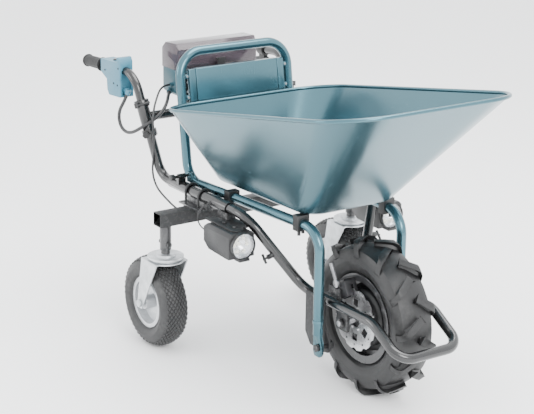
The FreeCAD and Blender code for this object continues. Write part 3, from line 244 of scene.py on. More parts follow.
CORDS = {
    "control_conduit": (10, 0.40, [
        (-831, -266, 671), (-841, -272, 646), (-861, -276, 618), (-863, -277, 589), (-845, -277, 567),
        (-814, -276, 561), (-780, -274, 571), (-749, -265, 591), (-729, -240, 612), (-731, -209, 631),
        (-755, -179, 649), (-783, -158, 662), (-805, -142, 667)]),
    "motor_cable": (6, 0.535, [
        (-800, -142, 690), (-797, -160, 691), (-785, -184, 685), (-762, -208, 668), (-738, -232, 645),
        (-719, -247, 618), (-711, -250, 588), (-716, -246, 556), (-725, -241, 525), (-733, -239, 494),
        (-738, -239, 464), (-730, -239, 437), (-708, -241, 418), (-678, -243, 407), (-644, -246, 400),
        (-612, -249, 394), (-587, -251, 391), (-567, -252, 390), (-549.3, -252, 390)]),
    "brake_cable": (5, 0.309, [
        (-888, 260.4, 707), (-866, 260.4, 707), (-836, 263, 705), (-808, 270, 692), (-786, 276, 668),
        (-772, 276, 638), (-764, 273, 606), (-757, 268, 574), (-751, 260, 542), (-748, 250, 512),
        (-745, 239, 486)]),
    "headlight_lead": (4, 0.139, [
        (-440, -236, 441), (-446, -247, 434), (-455, -255, 421), (-459, -259, 405), (-453, -261, 390),
        (-437, -262, 380), (-417, -261, 376), (-397, -260, 375), (-381, -260, 375)]),
}
for cord_node, (thickness, cord_length, route) in CORDS.items():
    line = bpy.data.curves.new(cord_node + "_sheath", "CURVE")
    line.dimensions = "3D"
    line.bevel_depth = thickness / 2000
    line.bevel_resolution = 5
    line.resolution_u = 12
    line.use_fill_caps = True
    spline = line.splines.new("NURBS")
    spline.points.add(len(route) - 1)
    for point, (x, y, z) in zip(spline.points, route):
        point.co = at(x, y, z).to_4d()
    spline.order_u = 3
    spline.use_endpoint_u = True
    line.materials.append(cord_rubber)
    sheath = add_object(cord_node + "_sheath", line)
    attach(sheath, "chassis")
    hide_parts(cord_node)


# ---------------------------------------------------------------- chassis
# One bent steel tube runs from the right handle round the drive wheel to the left handle, with
# thicker sleeves at the rear, welded axle and pivot plates, and a square beam for the casters
# held by U-bolts. Black powder paint, a little worn where straps and boots rub it.
def paint_film():
    """Sprayed paint: a faint orange peel, metal flake, slow drift of tone, and rubbed edges."""
    tree, start, end = new_group("paint_film", "ShaderNodeTree", [
        ("Vector", "NodeSocketVector", None), ("Paint", "NodeSocketColor", (0.05, 0.15, 0.2, 1)),
        ("Shade", "NodeSocketColor", (0.04, 0.12, 0.16, 1)),
        ("Worn", "NodeSocketColor", (0.3, 0.3, 0.3, 1)), ("Wear", "NodeSocketFloat", 0.4),
        ("Gloss", "NodeSocketFloat", 0.3)], SURFACE_OUTPUTS)
    place = start.outputs["Vector"]
    drift = spread(tree, noise(tree, place, 5.0, 3.0), 0.3, 0.7)
    flake = spread(tree, noise(tree, place, 1800.0, 1.0), 0.35, 0.65, 0.94, 1.06)
    tone = blend_colours(tree, drift, start.outputs["Paint"], start.outputs["Shade"])
    sparkle = put(tree, "ShaderNodeCombineColor", {0: flake, 1: flake, 2: flake}).outputs[0]
    tone = blend_colours(tree, 1.0, tone, sparkle, "MULTIPLY")
    edge = spread(tree, put(tree, "ShaderNodeNewGeometry").outputs["Pointiness"], 0.53, 0.6)
    broken = spread(tree, noise(tree, place, 140.0, 5.0), 0.5, 0.62)
    worn = maths(tree, "MULTIPLY", maths(tree, "MULTIPLY", edge, broken), start.outputs["Wear"])
    colour = blend_colours(tree, worn, tone, start.outputs["Worn"])
    streaks = put(tree, "ShaderNodeMapping", {"Vector": place, "Scale": (30.0, 420.0, 60.0)})
    hairlines = spread(tree, noise(tree, streaks.outputs[0], 1.0, 2.0), 0.62, 0.7, 0.0, 0.012)
    patches = spread(tree, noise(tree, place, 9.0, 2.0), 0.3, 0.7, -0.015, 0.02)
    gloss = maths(tree, "ADD", maths(tree, "ADD", start.outputs["Gloss"], hairlines), patches)
    peel = noise(tree, place, 320.0, 2.0)
    tree.links.new(colour, end.inputs["Color"])
    tree.links.new(gloss, end.inputs["Roughness"])
    tree.links.new(peel, end.inputs["Height"])
    return tree


def ground_metal():
    """Bare or plated metal with the fine lines of grinding and cloudy stains."""
    tree, start, end = new_group("ground_metal", "ShaderNodeTree", [
        ("Vector", "NodeSocketVector", None), ("Metal", "NodeSocketColor", (0.6, 0.6, 0.6, 1)),
        ("Stain", "NodeSocketColor", (0.4, 0.4, 0.4, 1)),
        ("Lines", "NodeSocketVector", (60.0, 60.0, 900.0)), ("Dullness", "NodeSocketFloat", 0.3)],
        SURFACE_OUTPUTS)
    place = start.outputs["Vector"]
    lines = put(tree, "ShaderNodeMapping", {"Vector": place, "Scale": start.outputs["Lines"]})
    cut = noise(tree, lines.outputs[0], 1.0, 3.0)
    cloud = spread(tree, noise(tree, place, 40.0, 4.0), 0.35, 0.7)
    colour = blend_colours(tree, cloud, start.outputs["Metal"], start.outputs["Stain"])
    dull = maths(tree, "ADD", start.outputs["Dullness"], spread(tree, cut, 0.3, 0.7, -0.06, 0.1))
    tree.links.new(colour, end.inputs["Color"])
    tree.links.new(maths(tree, "ADD", dull, spread(tree, cloud, 0, 1, 0, 0.08)), end.inputs["Roughness"])
    tree.links.new(cut, end.inputs["Height"])
    return tree


paint = paint_film()
metal = ground_metal()
COAT = {"Coat Weight": 0.5, "Coat Roughness": 0.12}
black_paint = finish("black_paint", paint, {
    "Paint": (0.004, 0.0042, 0.0045, 1), "Shade": (0.007, 0.0072, 0.0075, 1), "Worn": (0.1, 0.1, 0.1, 1),
    "Gloss": 0.24, "Wear": 0.25}, bump=0.06, constants=COAT)
grey_paint = finish("grey_paint", paint, {
    "Paint": (0.03, 0.0305, 0.032, 1), "Shade": (0.02, 0.0205, 0.022, 1), "Worn": (0.2, 0.2, 0.2, 1),
    "Gloss": 0.36, "Wear": 0.4}, bump=0.06, constants=COAT)
satin_black = finish("satin_black", paint, {
    "Paint": (0.009, 0.0092, 0.01, 1), "Shade": (0.013, 0.0133, 0.014, 1), "Worn": (0.12, 0.12, 0.12, 1),
    "Gloss": 0.46, "Wear": 0.5}, bump=0.1)
plated_steel = finish("plated_steel", metal, {
    "Metal": (0.42, 0.42, 0.43, 1), "Stain": (0.26, 0.26, 0.27, 1), "Dullness": 0.3}, metallic=1.0)


def dress(node, material):
    """Gives a CAD node its finish."""
    slots = nodes[node].data.materials
    slots.clear()
    slots.append(material)


def mesh_of(shape, name):
    """The mesh of a shape that is then no longer needed."""
    mesh = bpy.data.meshes.new(name)
    shape.to_mesh(mesh)
    shape.free()
    return mesh


def settle(piece):
    """Turns a piece with modifiers into its plain mesh."""
    graph = bpy.context.evaluated_depsgraph_get()
    mesh = bpy.data.meshes.new_from_object(piece.evaluated_get(graph))
    piece.modifiers.clear()
    piece.data = mesh


def new_piece(name, mesh, material):
    piece = add_object(name, mesh)
    mesh.materials.clear()
    mesh.materials.append(material)
    return piece


def shade(piece, sharp_degrees=38):
    piece.data.polygons.foreach_set("use_smooth", [True] * len(piece.data.polygons))
    piece.data.set_sharp_from_angle(angle=math.radians(sharp_degrees))


def fix_on(piece, node, hide=True):
    """The piece moves with the node's body; unless hide is False, the node is hidden."""
    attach(piece, nodes[node]["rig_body"])
    if hide:
        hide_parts(node)


def round_edges(piece, width, segments=2, angle=32):
    bevel = piece.modifiers.new("rounded edges", "BEVEL")
    bevel.width = width
    bevel.segments = segments
    bevel.limit_method = "ANGLE"
    bevel.angle_limit = math.radians(angle)
    settle(piece)


def eased(node, material, width=0.0008, segments=2, angle=32):
    """Copy of a CAD node with its flat faces whole and its edges rounded as the real ones are."""
    shape = bmesh.new()
    shape.from_mesh(nodes[node].data)
    bmesh.ops.remove_doubles(shape, verts=shape.verts, dist=1e-5)
    bmesh.ops.dissolve_limit(shape, angle_limit=math.radians(1), verts=shape.verts, edges=shape.edges)
    mesh = mesh_of(shape, node + "_eased")
    if "custom_normal" in mesh.attributes:
        mesh.attributes.remove(mesh.attributes["custom_normal"])
    piece = new_piece(node + "_eased", mesh, material)
    round_edges(piece, width, segments, angle)
    shade(piece)
    fix_on(piece, node)
    return piece


for tube_node in ("main_frame", "lower_handles"):
    dress(tube_node, black_paint)
eased("frame_sleeves", black_paint, 0.0006)
eased("frame_plates", satin_black, 0.0008)
eased("cross_beam", satin_black, 0.0022, 3)
eased("beam_saddles", grey_paint, 0.001)
eased("frame_fasteners", satin_black, 0.0004, 1)


def weld_tree():
    """Beads of weld metal laid one over the next along a line, each a little different."""
    tree, start, end = new_group("weld_bead", "GeometryNodeTree", [
        ("Seam", "NodeSocketGeometry", None), ("Bead radius", "NodeSocketFloat", 0.002),
        ("Step", "NodeSocketFloat", 0.0018), ("Finish", "NodeSocketMaterial", None)],
        [("Geometry", "NodeSocketGeometry")])
    path = put(tree, "GeometryNodeMeshToCurve", {"Mesh": start.outputs["Seam"]})
    steps = put(tree, "GeometryNodeResampleCurve", {"Curve": path.outputs[0],
                                                    "Length": start.outputs["Step"]}, mode="LENGTH")
    bead = put(tree, "GeometryNodeMeshIcoSphere", {"Radius": start.outputs["Bead radius"],
                                                   "Subdivisions": 2})
    size = put(tree, "FunctionNodeRandomValue", {"Seed": 3}, data_type="FLOAT")
    size.inputs[2].default_value = 0.85
    size.inputs[3].default_value = 1.15
    beads = put(tree, "GeometryNodeInstanceOnPoints", {
        "Points": steps.outputs[0], "Instance": bead.outputs[0], "Scale": size.outputs[1]})
    return give_geometry(tree, start, end, beads.outputs[0])


def run_tree(piece, tree, values):
    """Runs a geometry tree on a piece, with values by input name, and keeps the plain mesh."""
    modifier = piece.modifiers.new(tree.name, "NODES")
    modifier.node_group = tree
    for item in tree.interface.items_tree:
        if item.in_out == "INPUT" and item.name in values:
            modifier[item.identifier] = values[item.name]
    piece.update_tag()
    settle(piece)


weld = weld_tree()


def circle_points(centre, direction, radius, count=48):
    direction = Vector(direction).normalized()
    side = direction.orthogonal().normalized()
    other = direction.cross(side)
    return [centre + side * (radius * math.cos(2 * math.pi * i / count))
            + other * (radius * math.sin(2 * math.pi * i / count)) for i in range(count)]


def lay_welds(name, loops, body_node, material, radius=0.002):
    """Weld beads along closed loops of points; the piece moves with a node's body."""
    points = []
    edges = []
    for loop in loops:
        first = len(points)
        points += [tuple(point) for point in loop]
        edges += [(first + i, first + (i + 1) % len(loop)) for i in range(len(loop))]
    seam = bpy.data.meshes.new(name)
    seam.from_pydata(points, edges, [])
    piece = new_piece(name, seam, material)
    run_tree(piece, weld, {"Bead radius": radius, "Step": 0.9 * radius, "Finish": material})
    shade(piece, 80)
    fix_on(piece, body_node, hide=False)


CASTER_X = -527
CASTER_Y = 321
BEAM_LOW_Z = 369.0
SOCKET_R = 0.0162
beam_welds = [circle_points(at(CASTER_X, side * CASTER_Y, BEAM_LOW_Z), (0, 0, 1), SOCKET_R + 0.0001)
              for side in (-1, 1)]
lay_welds("socket_welds", beam_welds, "cross_beam", satin_black)


# ---------------------------------------------------------------- caster mounts and forks
# Round sockets under the beam take the stems; the fixed discs, the pressed forks and their axles
# are zinc plated steel, the hubs and rims are silver, and the tyres are dark grey block pattern.
zinc_plate = finish("zinc_plate", metal, {
    "Metal": (0.62, 0.64, 0.66, 1), "Stain": (0.47, 0.49, 0.5, 1), "Dullness": 0.34,
    "Lines": (160.0, 160.0, 160.0)}, bump=0.12, metallic=0.85)
silver_paint = finish("silver_paint", paint, {
    "Paint": (0.56, 0.575, 0.59, 1), "Shade": (0.46, 0.475, 0.49, 1), "Worn": (0.2, 0.2, 0.2, 1),
    "Gloss": 0.34, "Wear": 0.5}, bump=0.06, metallic=0.55)
caster_rubber = finish("caster_rubber", moulded, {
    "Colour": (0.02, 0.02, 0.0205, 1), "Bloom": (0.06, 0.06, 0.059, 1), "Dullness": 0.56,
    "Grain size": 700.0}, bump=0.35)


mount_piece = eased("caster_mounts", zinc_plate, 0.0007)
mount_piece.data.materials.append(grey_paint)
DISC_TOP = 0.288
for face in mount_piece.data.polygons:
    flat = face.center - at(CASTER_X, math.copysign(CASTER_Y, face.center.y), 0)
    if face.center.z > DISC_TOP + 0.002 and math.hypot(flat.x, flat.y) < SOCKET_R:
        face.material_index = 1


def lathe(name, profile, centre, material, segments=96):
    """Solid turned about the Y axis through centre; its closed profile is (y, radius) in metres."""
    count = len(profile)
    points = []
    for i in range(segments):
        angle = 2 * math.pi * i / segments
        for y, radius in profile:
            points.append((centre.x + radius * math.sin(angle), centre.y + y,
                           centre.z + radius * math.cos(angle)))
    faces = []
    for i in range(segments):
        for k in range(count):
            a = i * count + k
            b = i * count + (k + 1) % count
            c = ((i + 1) % segments) * count + (k + 1) % count
            d = ((i + 1) % segments) * count + k
            faces.append((a, b, c, d))
    mesh = bpy.data.meshes.new(name)
    mesh.from_pydata(points, [], faces)
    shape = bmesh.new()
    shape.from_mesh(mesh)
    bmesh.ops.remove_doubles(shape, verts=shape.verts, dist=1e-6)
    bmesh.ops.recalc_face_normals(shape, faces=shape.faces)
    bpy.data.meshes.remove(mesh)
    piece = new_piece(name, mesh_of(shape, name), material)
    shade(piece, 35)
    return piece


def arc_through(a, b, c, steps):
    """Points on the circle through three (y, radius) points, from a to c, without c."""
    (ax, ay), (bx, by), (cx, cy) = a, b, c
    d = 2 * (ax * (by - cy) + bx * (cy - ay) + cx * (ay - by))
    ux = ((ax**2 + ay**2) * (by - cy) + (bx**2 + by**2) * (cy - ay) + (cx**2 + cy**2) * (ay - by)) / d
    uy = ((ax**2 + ay**2) * (cx - bx) + (bx**2 + by**2) * (ax - cx) + (cx**2 + cy**2) * (bx - ax)) / d
    radius = math.hypot(ax - ux, ay - uy)
    start = math.atan2(ay - uy, ax - ux)
    end = math.atan2(cy - uy, cx - ux)
    through = math.atan2(by - uy, bx - ux)
    sweep = (end - start) % (2 * math.pi)
    if (through - start) % (2 * math.pi) > sweep:
        sweep -= 2 * math.pi
    return [(ux + radius * math.cos(start + sweep * i / steps),
             uy + radius * math.sin(start + sweep * i / steps)) for i in range(steps)]


def tyre_skin(half_w, tread_half, crown_r, bead_r, flange_r, steps=14):
    """Outline of a tyre from bead to bead, as (y, radius) points in metres."""
    seat = half_w * 0.69
    shoulder = crown_r - 0.008
    mid_r = (flange_r + shoulder) / 2
    outline = [(-seat, bead_r)]
    outline += arc_through((-seat, flange_r), (-half_w, mid_r), (-tread_half, shoulder), steps)
    outline += arc_through((-tread_half, shoulder), (0, crown_r), (tread_half, shoulder), steps)
    outline += arc_through((tread_half, shoulder), (half_w, mid_r), (seat, flange_r), steps)
    outline += [(seat, flange_r), (seat, bead_r)]
    return outline


def with_bands(outline, bands, rise):
    """Raised rings moulded on the side walls at given radii."""
    raised = []
    for y, r in outline:
        lift = max((1 - abs(r - band) / 0.0035 for band in bands), default=0)
        raised.append((y + math.copysign(rise * max(0.0, min(1.0, 2 * lift)), y), r))
    return raised


def around_tree():
    """Copies of a piece turned about a line along Y through a centre."""
    tree, start, end = new_group("around_the_axle", "GeometryNodeTree", [
        ("Piece", "NodeSocketGeometry", None), ("Count", "NodeSocketInt", 12),
        ("Centre", "NodeSocketVector", (0, 0, 0)), ("Phase", "NodeSocketFloat", 0.0),
        ("Finish", "NodeSocketMaterial", None)], [("Geometry", "NodeSocketGeometry")])
    back = put(tree, "ShaderNodeVectorMath", {0: (0, 0, 0), 1: start.outputs["Centre"]},
               operation="SUBTRACT")
    home = put(tree, "GeometryNodeTransform", {"Geometry": start.outputs["Piece"],
                                               "Translation": back.outputs[0]})
    spots = put(tree, "GeometryNodeMeshLine", {"Count": start.outputs["Count"],
                                               "Start Location": start.outputs["Centre"],
                                               "Offset": (0, 0, 0)})
    index = put(tree, "GeometryNodeInputIndex")
    share = maths(tree, "DIVIDE", index.outputs[0], start.outputs["Count"])
    angle = maths(tree, "ADD", maths(tree, "MULTIPLY", share, 2 * math.pi), start.outputs["Phase"])
    turned_by = put(tree, "ShaderNodeCombineXYZ", {"Y": angle})
    copies = put(tree, "GeometryNodeInstanceOnPoints", {
        "Points": spots.outputs[0], "Instance": home.outputs[0], "Rotation": turned_by.outputs[0]})
    return give_geometry(tree, start, end, copies.outputs[0])


around = around_tree()


def merge_pieces(first, *others):
    """Joins the meshes of several pieces into the first."""
    shape = bmesh.new()
    for piece in (first, *others):
        shape.from_mesh(piece.data)
    shape.to_mesh(first.data)
    shape.free()
    for piece in others:
        bpy.data.objects.remove(piece)


BLOCKS_AROUND = 46
BLOCK_ROWS = 6           # rows each side of the middle one
BLOCK_STEP = 0.0053
BLOCK_DEPTH = 0.0028


def outline_place(outline, distance):
    """Point and outward direction on an outline at a distance from its crown."""
    crown = max(range(len(outline)), key=lambda i: outline[i][1])
    walk = abs(distance)
    step = 1 if distance >= 0 else -1
    here = crown
    while True:
        a = Vector(outline[here])
        b = Vector(outline[here + step])
        run = (b - a).length
        if walk <= run:
            along = (b - a).normalized()
            out = Vector((-along.y, along.x)) * step
            return a + along * walk, out
        walk -= run
        here += step


def tread_block(shape, outline, centre, distance, twist):
    """One lozenge block of the tread, standing on the outline at a distance from the crown."""
    pitch = 2 * math.pi / BLOCKS_AROUND
    rings = []
    for lift, spread_by in ((-0.001, 1.0), (BLOCK_DEPTH * 0.75, 0.86), (BLOCK_DEPTH, 0.68)):
        ring = []
        for along_step, around_step in ((0, 0.46), (BLOCK_STEP * 0.92, 0), (0, -0.46),
                                        (-BLOCK_STEP * 0.92, 0)):
            place, out = outline_place(outline, distance + along_step * spread_by)
            y, r = place + out * lift
            angle = twist + pitch * around_step * spread_by
            ring.append(shape.verts.new((centre.x + r * math.sin(angle), centre.y + y,
                                         centre.z + r * math.cos(angle))))
        rings.append(ring)
    for low, high in zip(rings, rings[1:]):
        for i in range(4):
            shape.faces.new((low[i], low[(i + 1) % 4], high[(i + 1) % 4], high[i]))
    shape.faces.new(rings[-1])
    shape.faces.new(list(reversed(rings[0])))


for side in ("right", "left"):
    tyre_node = "caster_tyre_" + side
    hub = middle(tyre_node)
    skin = tyre_skin(0.042, 0.029, 0.131, 0.066, 0.075)
    carcass_outline = [(y, r - BLOCK_DEPTH) if r > 0.1 else (y, r) for y, r in skin]
    outer_outline = with_bands(carcass_outline, (0.083, 0.098), 0.0008)
    inner_outline = [(y * 0.8, r - 0.008 if r > 0.07 else r) for y, r in reversed(carcass_outline)]
    carcass = lathe(tyre_node + "_moulding", outer_outline + inner_outline, hub, caster_rubber, 88)
    block_shape = bmesh.new()
    for row in range(-BLOCK_ROWS, BLOCK_ROWS + 1):
        tread_block(block_shape, carcass_outline, hub, row * BLOCK_STEP,
                    (row % 2) * math.pi / BLOCKS_AROUND)
    bmesh.ops.recalc_face_normals(block_shape, faces=block_shape.faces)
    blocks = new_piece(tyre_node + "_blocks", mesh_of(block_shape, "tread_blocks"), caster_rubber)
    run_tree(blocks, around, {"Count": BLOCKS_AROUND, "Centre": hub, "Phase": 0.0, "Finish": caster_rubber})
    shade(blocks, 25)
    fix_on(blocks, tyre_node, hide=False)
    fix_on(carcass, tyre_node)
    eased("caster_rim_" + side, silver_paint, 0.0006)
    eased("caster_fork_" + side, zinc_plate, 0.001, 3)
    eased("caster_axle_" + side, zinc_plate, 0.0005, 1)


# ---------------------------------------------------------------- drive wheel
# A 16 inch pneumatic tyre with tall tractor lugs on a black steel rim, driven by a motor inside
# the hub; the brake disc, with its waved edge and slots, is bolted to the motor's right face.
tyre_rubber = finish("tyre_rubber", moulded, {
    "Colour": (0.007, 0.007, 0.0074, 1), "Bloom": (0.022, 0.022, 0.022, 1), "Dullness": 0.46,
    "Grain size": 500.0}, bump=0.3)
LUG_ANGLE = math.radians(36)
LUG_PAIRS = 12
LUG_FOOT_HALF_W = 0.0135
LUG_TOP_HALF_W = 0.0108
# along a lug from the middle of the tread to the side wall: (y, radius) of its top, then of its foot
LUG_STATIONS = [((-0.002, 0.210), (-0.002, 0.188)), ((0.020, 0.210), (0.020, 0.187)),
                ((0.040, 0.2095), (0.037, 0.185)), ((0.0485, 0.205), (0.042, 0.181)),
                ((0.0535, 0.196), (0.045, 0.175)), ((0.0555, 0.182), (0.047, 0.168)),
                ((0.0545, 0.168), (0.049, 0.163))]


def lug_mesh(name, centre, hand):
    """One tractor lug; hand is 1 for the left half of the tread and -1 for the right half."""
    shape = bmesh.new()
    across = Vector((math.cos(LUG_ANGLE), -math.sin(LUG_ANGLE)))
    sections = []
    for number, (top, foot) in enumerate(LUG_STATIONS):
        section = []
        for (y, r), half_w in ((foot, LUG_FOOT_HALF_W), (top, LUG_TOP_HALF_W)):
            for way in (-1, 1):
                x = y * math.tan(LUG_ANGLE) + across.x * half_w * way
                wide_y = y + across.y * half_w * way * (1 if number < 3 else 0.25)
                angle = math.asin(x / r)
                section.append(shape.verts.new((centre.x + r * math.sin(angle), centre.y + hand * wide_y,
                                                centre.z + r * math.cos(angle))))
        sections.append(section)
    for low, high in zip(sections, sections[1:]):
        for i in range(4):
            shape.faces.new((low[i], low[(i + 1) % 4], high[(i + 1) % 4], high[i]))
    shape.faces.new(sections[0])
    shape.faces.new(list(reversed(sections[-1])))
    bmesh.ops.recalc_face_normals(shape, faces=shape.faces)
    return mesh_of(shape, name)


wheel_skin = tyre_skin(0.054, 0.047, 0.195, 0.104, 0.122, 20)
wheel_outer = with_bands(wheel_skin, (0.131, 0.152), 0.001)
wheel_inner = [(y * 0.83, r - 0.009 if r > 0.11 else r) for y, r in reversed(wheel_skin)]
tyre_carcass = lathe("front_tyre_moulding", wheel_outer + wheel_inner, axle, tyre_rubber, 128)
lug_pieces = []
for hand, phase in ((1, 0.0), (-1, math.pi / LUG_PAIRS)):
    lugs = new_piece("front_tyre_lugs", lug_mesh("front_tyre_lugs", axle, hand), tyre_rubber)
    round_edges(lugs, 0.0016, 2, 25)
    run_tree(lugs, around, {"Count": LUG_PAIRS, "Centre": axle, "Phase": phase, "Finish": tyre_rubber})
    lug_pieces.append(lugs)
merge_pieces(*lug_pieces)
shade(lug_pieces[0], 30)
fix_on(lug_pieces[0], "front_tyre", hide=False)
fix_on(tyre_carcass, "front_tyre")

rim_black = finish("rim_black", paint, {
    "Paint": (0.014, 0.014, 0.015, 1), "Shade": (0.02, 0.02, 0.021, 1), "Worn": (0.2, 0.2, 0.2, 1),
    "Gloss": 0.28, "Wear": 0.3}, bump=0.05, constants=COAT)
disc_steel = finish("disc_steel", metal, {
    "Metal": (0.72, 0.72, 0.73, 1), "Stain": (0.5, 0.5, 0.51, 1), "Lines": (700.0, 40.0, 700.0),
    "Dullness": 0.26}, metallic=1.0)
dress("front_rim", rim_black)
eased("hub_motor_case", satin_black, 0.0012)
eased("brake_rotor", disc_steel, 0.0003, 1)
eased("front_axle", plated_steel, 0.0008)
dress("motor_stator", plated_steel)


def screw_tree():
    """Cap screws with a sunk round socket, standing on points along each point's own way."""
    tree, start, end = new_group("cap_screws", "GeometryNodeTree", [
        ("Spots", "NodeSocketGeometry", None), ("Head radius", "NodeSocketFloat", 0.003),
        ("Head height", "NodeSocketFloat", 0.002), ("Finish", "NodeSocketMaterial", None)],
        [("Geometry", "NodeSocketGeometry")])
    head = put(tree, "GeometryNodeMeshCylinder", {
        "Vertices": 18, "Radius": start.outputs["Head radius"], "Depth": start.outputs["Head height"]})
    rim = put(tree, "GeometryNodeExtrudeMesh", {
        "Mesh": head.outputs["Mesh"], "Selection": head.outputs["Top"], "Offset Scale": 0.0004})
    inner = put(tree, "GeometryNodeScaleElements", {
        "Geometry": rim.outputs["Mesh"], "Selection": rim.outputs["Top"], "Scale": 0.86})
    lip = put(tree, "GeometryNodeExtrudeMesh", {
        "Mesh": inner.outputs[0], "Selection": rim.outputs["Top"], "Offset Scale": 0.0})
    socket = put(tree, "GeometryNodeScaleElements", {
        "Geometry": lip.outputs["Mesh"], "Selection": lip.outputs["Top"], "Scale": 0.55})
    sunk = put(tree, "GeometryNodeExtrudeMesh", {
        "Mesh": socket.outputs[0], "Selection": lip.outputs["Top"], "Offset Scale": -0.0012})
    way = put(tree, "GeometryNodeInputNamedAttribute", {"Name": "way"}, data_type="FLOAT_VECTOR")
    stand = put(tree, "FunctionNodeAlignRotationToVector", {"Vector": way.outputs[0]}, axis="Z")
    heads = put(tree, "GeometryNodeInstanceOnPoints", {
        "Points": start.outputs["Spots"], "Instance": sunk.outputs["Mesh"],
        "Rotation": stand.outputs[0]})
    return give_geometry(tree, start, end, heads.outputs[0])


screw = screw_tree()


def set_screws(name, spots, node, material, radius, height):
    """Cap screws at (place, way) spots; the piece moves with a node's body."""
    mesh = bpy.data.meshes.new(name)
    mesh.from_pydata([tuple(place) for place, way in spots], [], [])
    ways = mesh.attributes.new("way", "FLOAT_VECTOR", "POINT")
    ways.data.foreach_set("vector", [value for place, way in spots for value in way])
    piece = new_piece(name, mesh, material)
    run_tree(piece, screw, {"Head radius": radius, "Head height": height, "Finish": material})
    shade(piece, 30)
    fix_on(piece, node, hide=False)


HUB_SCREWS = 8
HUB_SCREW_R = 0.058
HUB_FACE_Y = 0.0385
hub_screws = []
for i in range(HUB_SCREWS):
    turned = 2 * math.pi * (i + 0.5) / HUB_SCREWS
    for way_y in (-1, 1):
        spot = Vector((HUB_SCREW_R * math.cos(turned), way_y * HUB_FACE_Y, HUB_SCREW_R * math.sin(turned)))
        hub_screws.append((axle + spot, (0, way_y, 0)))
set_screws("hub_case_screws", hub_screws, "hub_motor_case", plated_steel, 0.004, 0.005)


# ---------------------------------------------------------------- brake
# A cable caliper on a bracket at the right of the wheel, cast in aluminium and anodised black,
# with a plated arm that the cable pulls.
anodised = finish("black_anodised", metal, {
    "Metal": (0.055, 0.055, 0.058, 1), "Stain": (0.035, 0.035, 0.037, 1), "Dullness": 0.4,
    "Lines": (240.0, 240.0, 240.0)}, metallic=0.8)
eased("brake_caliper", anodised, 0.0014, 3)
eased("caliper_arm", plated_steel, 0.0008)


# ---------------------------------------------------------------- tub
# Pressed and welded from 2 mm sheet, open at the top, with walls that flare to a rim rolled round
# a wire; it sits on the tub frame and tips forwards. Satin metallic teal paint inside and out.
TEAL = {"Paint": (0.062, 0.142, 0.172, 1), "Shade": (0.056, 0.13, 0.158, 1), "Worn": (0.12, 0.2, 0.23, 1),
        "Wear": 0.1, "Gloss": 0.25}
teal_paint = finish("teal_paint", paint, TEAL, bump=0.02, metallic=0.82,
                    constants={"Coat Weight": 0.22, "Coat Roughness": 0.2})
TUB_REAR, TUB_FRONT, TUB_HALF_W = -640, 250, 289
FLOOR_REAR, FLOOR_FRONT, FLOOR_HALF_W = -560, -95, 148
RIM_Z, RIM_SLOPE = 669.75, 0.175
FLOOR_Z, FLOOR_SLOPE = 467.5, 0.024
RIM_CORNERS = (125, 137)      # corner radii at the rear and the front
FLOOR_CORNERS = (60, 60)
ROLL_R = 0.0055
CORNER_STEPS = 16
SIDE_STEPS = 10
WALL_STEPS = 10


def rounded_loop(rear, front, half_w, rear_r, front_r):
    """Closed outline seen from above: the rear and front edges, two sides and four round corners."""
    loop = []
    corners = [(front, half_w, front_r, 0), (rear, half_w, rear_r, 90), (rear, -half_w, rear_r, 180),
               (front, -half_w, front_r, 270)]
    arcs = []
    for x, y, r, start in corners:
        centre = (x - math.copysign(r, x - (rear + front) / 2), y - math.copysign(r, y))
        arcs.append([(centre[0] + r * math.cos(math.radians(start + 90 * i / CORNER_STEPS)),
                      centre[1] + r * math.sin(math.radians(start + 90 * i / CORNER_STEPS)))
                     for i in range(CORNER_STEPS + 1)])
    for arc, following in zip(arcs, arcs[1:] + arcs[:1]):
        loop += arc
        (ax, ay), (bx, by) = arc[-1], following[0]
        loop += [(ax + (bx - ax) * i / SIDE_STEPS, ay + (by - ay) * i / SIDE_STEPS)
                 for i in range(1, SIDE_STEPS)]
    return loop


rim_slant = math.cos(math.atan(RIM_SLOPE))
rim_length = (TUB_FRONT - TUB_REAR) / rim_slant
floor_loop = [at(x, y, FLOOR_Z + FLOOR_SLOPE * (x - FLOOR_REAR)) for x, y in
              rounded_loop(FLOOR_REAR, FLOOR_FRONT, FLOOR_HALF_W, *FLOOR_CORNERS)]
rim_loop = [at(TUB_REAR + x * rim_slant, y, RIM_Z + RIM_SLOPE * x * rim_slant) for x, y in
            rounded_loop(0, rim_length, TUB_HALF_W, *RIM_CORNERS)]

tub_shape = bmesh.new()
wall_rings = []
for step in range(WALL_STEPS + 1):
    share = step / WALL_STEPS
    wall_rings.append([tub_shape.verts.new(low.lerp(high, share))
                       for low, high in zip(floor_loop, rim_loop)])
floor_middle = sum(floor_loop, Vector()) / len(floor_loop)
inner_rings = [wall_rings[0]]
for share in (0.9, 0.75, 0.5, 0.25):
    inner_rings.append([tub_shape.verts.new(floor_middle.lerp(corner, share)) for corner in floor_loop])
for low, high in [*zip(wall_rings, wall_rings[1:]), *zip(inner_rings[1:], inner_rings)]:
    for i in range(len(low)):
        k = (i + 1) % len(low)
        tub_shape.faces.new((low[i], low[k], high[k], high[i]))
tub_shape.faces.new(list(reversed(inner_rings[-1])))
bmesh.ops.recalc_face_normals(tub_shape, faces=tub_shape.faces)
floor_edge = set(inner_rings[0])
bend_edges = [edge for edge in tub_shape.edges if floor_edge.issuperset(edge.verts)]
bmesh.ops.bevel(tub_shape, geom=bend_edges, offset=0.014, segments=5, profile=0.5, affect="EDGES")
downward = [face for face in tub_shape.faces if abs(face.normal.z) > 0.95]
if sum(face.normal.z for face in downward) > 0:
    bmesh.ops.reverse_faces(tub_shape, faces=tub_shape.faces)
tub_shell = new_piece("tub_shell", mesh_of(tub_shape, "tub_shell"), teal_paint)
wall = tub_shell.modifiers.new("sheet", "SOLIDIFY")
wall.thickness = 0.002
wall.offset = -1.0
settle(tub_shell)
shade(tub_shell, 50)
fix_on(tub_shell, "tub")

